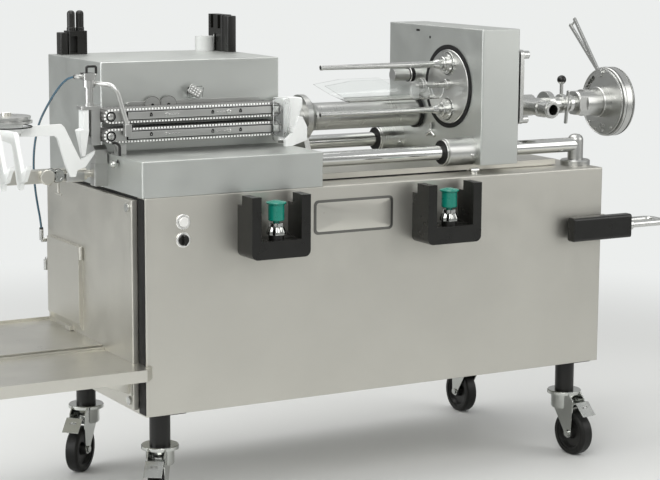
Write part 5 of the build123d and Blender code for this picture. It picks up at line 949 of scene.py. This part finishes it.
class MACHINE_OT_stage(bpy.types.Operator):
    """Builds the floor, the lamps and the camera at the photograph's viewpoint."""

    bl_idname = "machine.stage"
    bl_label = "Stage"

    def execute(self, context):
        self.floor()
        self.world(context)
        self.lamps(context)
        self.camera(context)
        context.scene.view_settings.view_transform = "Standard"
        return {"FINISHED"}

    def floor(self):
        """A flat square that is far larger than the machine."""
        reach = np.linspace(-12, 12, 3)
        x, y = np.meshgrid(reach, reach, indexing="ij")
        points = np.stack((x, y, np.zeros_like(x)), -1).reshape(-1, 3)
        mesh = bpy.data.meshes.new("stage_floor")
        mesh.from_pydata(points.tolist(), [], cells(3, 3, False, False)[:, ::-1].tolist())
        material, nodes, links, shader, place = node_material("plain_floor")
        cloud = noise(nodes, links, place, 0.8, 2)
        colour = bpy.context.scene.machine_stage.floor_colour
        links.new(tint(nodes, links, cloud, colour, 0.01), shader.inputs["Base Color"])
        shader.inputs["Roughness"].default_value = 0.6
        self.fade(nodes, links, shader, place)
        mesh.materials.append(material)
        floor = link_object("stage_floor", mesh)

    def fade(self, nodes, links, shader, place):
        """Far from the machine the camera sees the floor in the backdrop's own tone, so no edge shows."""
        length = add_node(nodes, "VectorMath", operation="LENGTH")
        links.new(place.outputs["Object"], length.inputs[0])
        near = bpy.context.scene.machine_stage.fade_start
        ramp = add_node(nodes, "MapRange", {"From Min": near, "From Max": near + FADE_WIDTH},
                        interpolation_type="SMOOTHSTEP")
        links.new(length.outputs["Value"], ramp.inputs["Value"])
        both = add_node(nodes, "Math", operation="MULTIPLY")
        links.new(ramp.outputs["Result"], both.inputs[0])
        links.new(seen_directly(nodes, links), both.inputs[1])
        glow = add_node(nodes, "Emission", {"Color": BACKDROP})
        show_mix(nodes, links, both.outputs["Value"], shader.outputs["BSDF"], glow.outputs["Emission"],
                 "Material Output")

    def world(self, context):
        """A pale room: brighter above, with a dimmer band low down, and a white backdrop for the camera."""
        world = bpy.data.worlds.new("studio")
        world.use_nodes = True
        nodes = world.node_tree.nodes
        links = world.node_tree.links
        room = nodes["Background"]
        place = add_node(nodes, "TexCoord")
        split = add_node(nodes, "SeparateXYZ")
        links.new(place.outputs["Generated"], split.inputs["Vector"])
        half = add_node(nodes, "Math", {1: 0.5, 2: 0.5}, operation="MULTIPLY_ADD")
        links.new(split.outputs["Z"], half.inputs[0])
        ramp = add_node(nodes, "ValToRGB")
        for stop, position, colour in zip(ramp.color_ramp.elements, (0.42, 0.75), (ROOM_LOW, ROOM_HIGH)):
            stop.position = position
            stop.color = colour
        links.new(half.outputs["Value"], ramp.inputs["Fac"])
        links.new(ramp.outputs["Color"], room.inputs["Color"])
        room.inputs["Strength"].default_value = ROOM_STRENGTH
        backdrop = add_node(nodes, "Background", {"Color": BACKDROP})
        show_mix(nodes, links, seen_directly(nodes, links), room.outputs["Background"],
                 backdrop.outputs["Background"], "World Output")
        context.scene.world = world

    def lamps(self, context):
        """Large soft lamps: one over the front left, one at each side, one behind above."""
        stage = context.scene.machine_stage
        target = Vector(at(600, 280, 700))
        for name, place, size, power in (
                ("key_lamp", (-900, -2300, 2700), 2.2, stage.key_power),
                ("fill_lamp", (3200, -1900, 1900), 2.0, stage.fill_power),
                ("side_lamp", (-2900, 500, 1700), 2.4, stage.side_power),
                ("top_lamp", (300, 700, 3200), 2.6, stage.fill_power * 2.2)):
            lamp = bpy.data.lights.new(name, "AREA")
            lamp.shape = "SQUARE"
            lamp.size = size
            lamp.energy = power
            lamp.color = (0.985, 0.995, 1.0) if name == "side_lamp" else (1.0, 0.99, 0.97)
            holder = link_object(name, lamp)
            start = Vector(at(*place))
            holder.matrix_world = (Matrix.Translation(start)
                                   @ (target - start).to_track_quat("-Z", "Y").to_matrix().to_4x4())

    def camera(self, context):
        """The camera stands where the photograph was taken, from its yaw, dip, roll and lens."""
        turn = radians(CAMERA_TURN)
        dip = radians(CAMERA_DIP)
        roll = radians(CAMERA_ROLL)
        forward = Vector((sin(turn) * cos(dip), cos(turn) * cos(dip), -sin(dip)))
        right = Vector((cos(turn), -sin(turn), 0))
        up = right.cross(forward)
        right, up = cos(roll) * right + sin(roll) * up, cos(roll) * up - sin(roll) * right
        camera = bpy.data.cameras.new("viewpoint")
        camera.sensor_width = 36
        camera.lens = 36 * CAMERA_LENS
        camera.clip_end = 50
        holder = link_object("viewpoint", camera)
        turned = Matrix((right, up, -forward)).transposed().to_4x4()
        holder.matrix_world = Matrix.Translation(Vector(at(*CAMERA_PLACE))) @ turned
        context.scene.camera = holder


class MACHINE_PT_panel(bpy.types.Panel):
    """Shows the machine's settings and a button for each step that builds it."""

    bl_idname = "MACHINE_PT_panel"
    bl_label = "Linking machine"
    bl_space_type = "VIEW_3D"
    bl_region_type = "UI"
    bl_category = "Machine"

    def draw(self, context):
        layout = self.layout
        for setting, words in zip(SETTINGS, ("Finishes", "Small parts", "Stage")):
            group = getattr(context.scene, setting)
            layout.label(text=words)
            for name in group.bl_rna.properties.keys():
                if name not in ("rna_type", "name"):
                    layout.prop(group, name)
        for operator in OPERATORS:
            layout.operator(operator.bl_idname)


OPERATORS = (
    MACHINE_OT_stage,
    MACHINE_OT_air_hose,
    MACHINE_OT_finish_nodes,
    MACHINE_OT_belt_fittings,
    MACHINE_OT_cabinet_trim,
    MACHINE_OT_carriage_trim,
    MACHINE_OT_caster_cups,
    MACHINE_OT_discharge_trim,
)
SETTINGS = {"machine_finish": FinishSettings, "machine_trim": TrimSettings, "machine_stage": StageSettings}


def register():
    for name, group in SETTINGS.items():
        bpy.utils.register_class(group)
        setattr(bpy.types.Scene, name, bpy.props.PointerProperty(type=group))
    for kind in (*OPERATORS, MACHINE_PT_panel):
        bpy.utils.register_class(kind)


def unregister():
    for kind in (MACHINE_PT_panel, *reversed(OPERATORS)):
        bpy.utils.unregister_class(kind)
    for name, group in reversed(SETTINGS.items()):
        delattr(bpy.types.Scene, name)
        bpy.utils.unregister_class(group)


def run(operator):
    """Calls one operator by its own name."""
    group, name = operator.bl_idname.split(".")
    getattr(getattr(bpy.ops, group), name)()


def main():
    register()
    for operator in OPERATORS:
        run(operator)


if __name__ == "__main__":
    main()
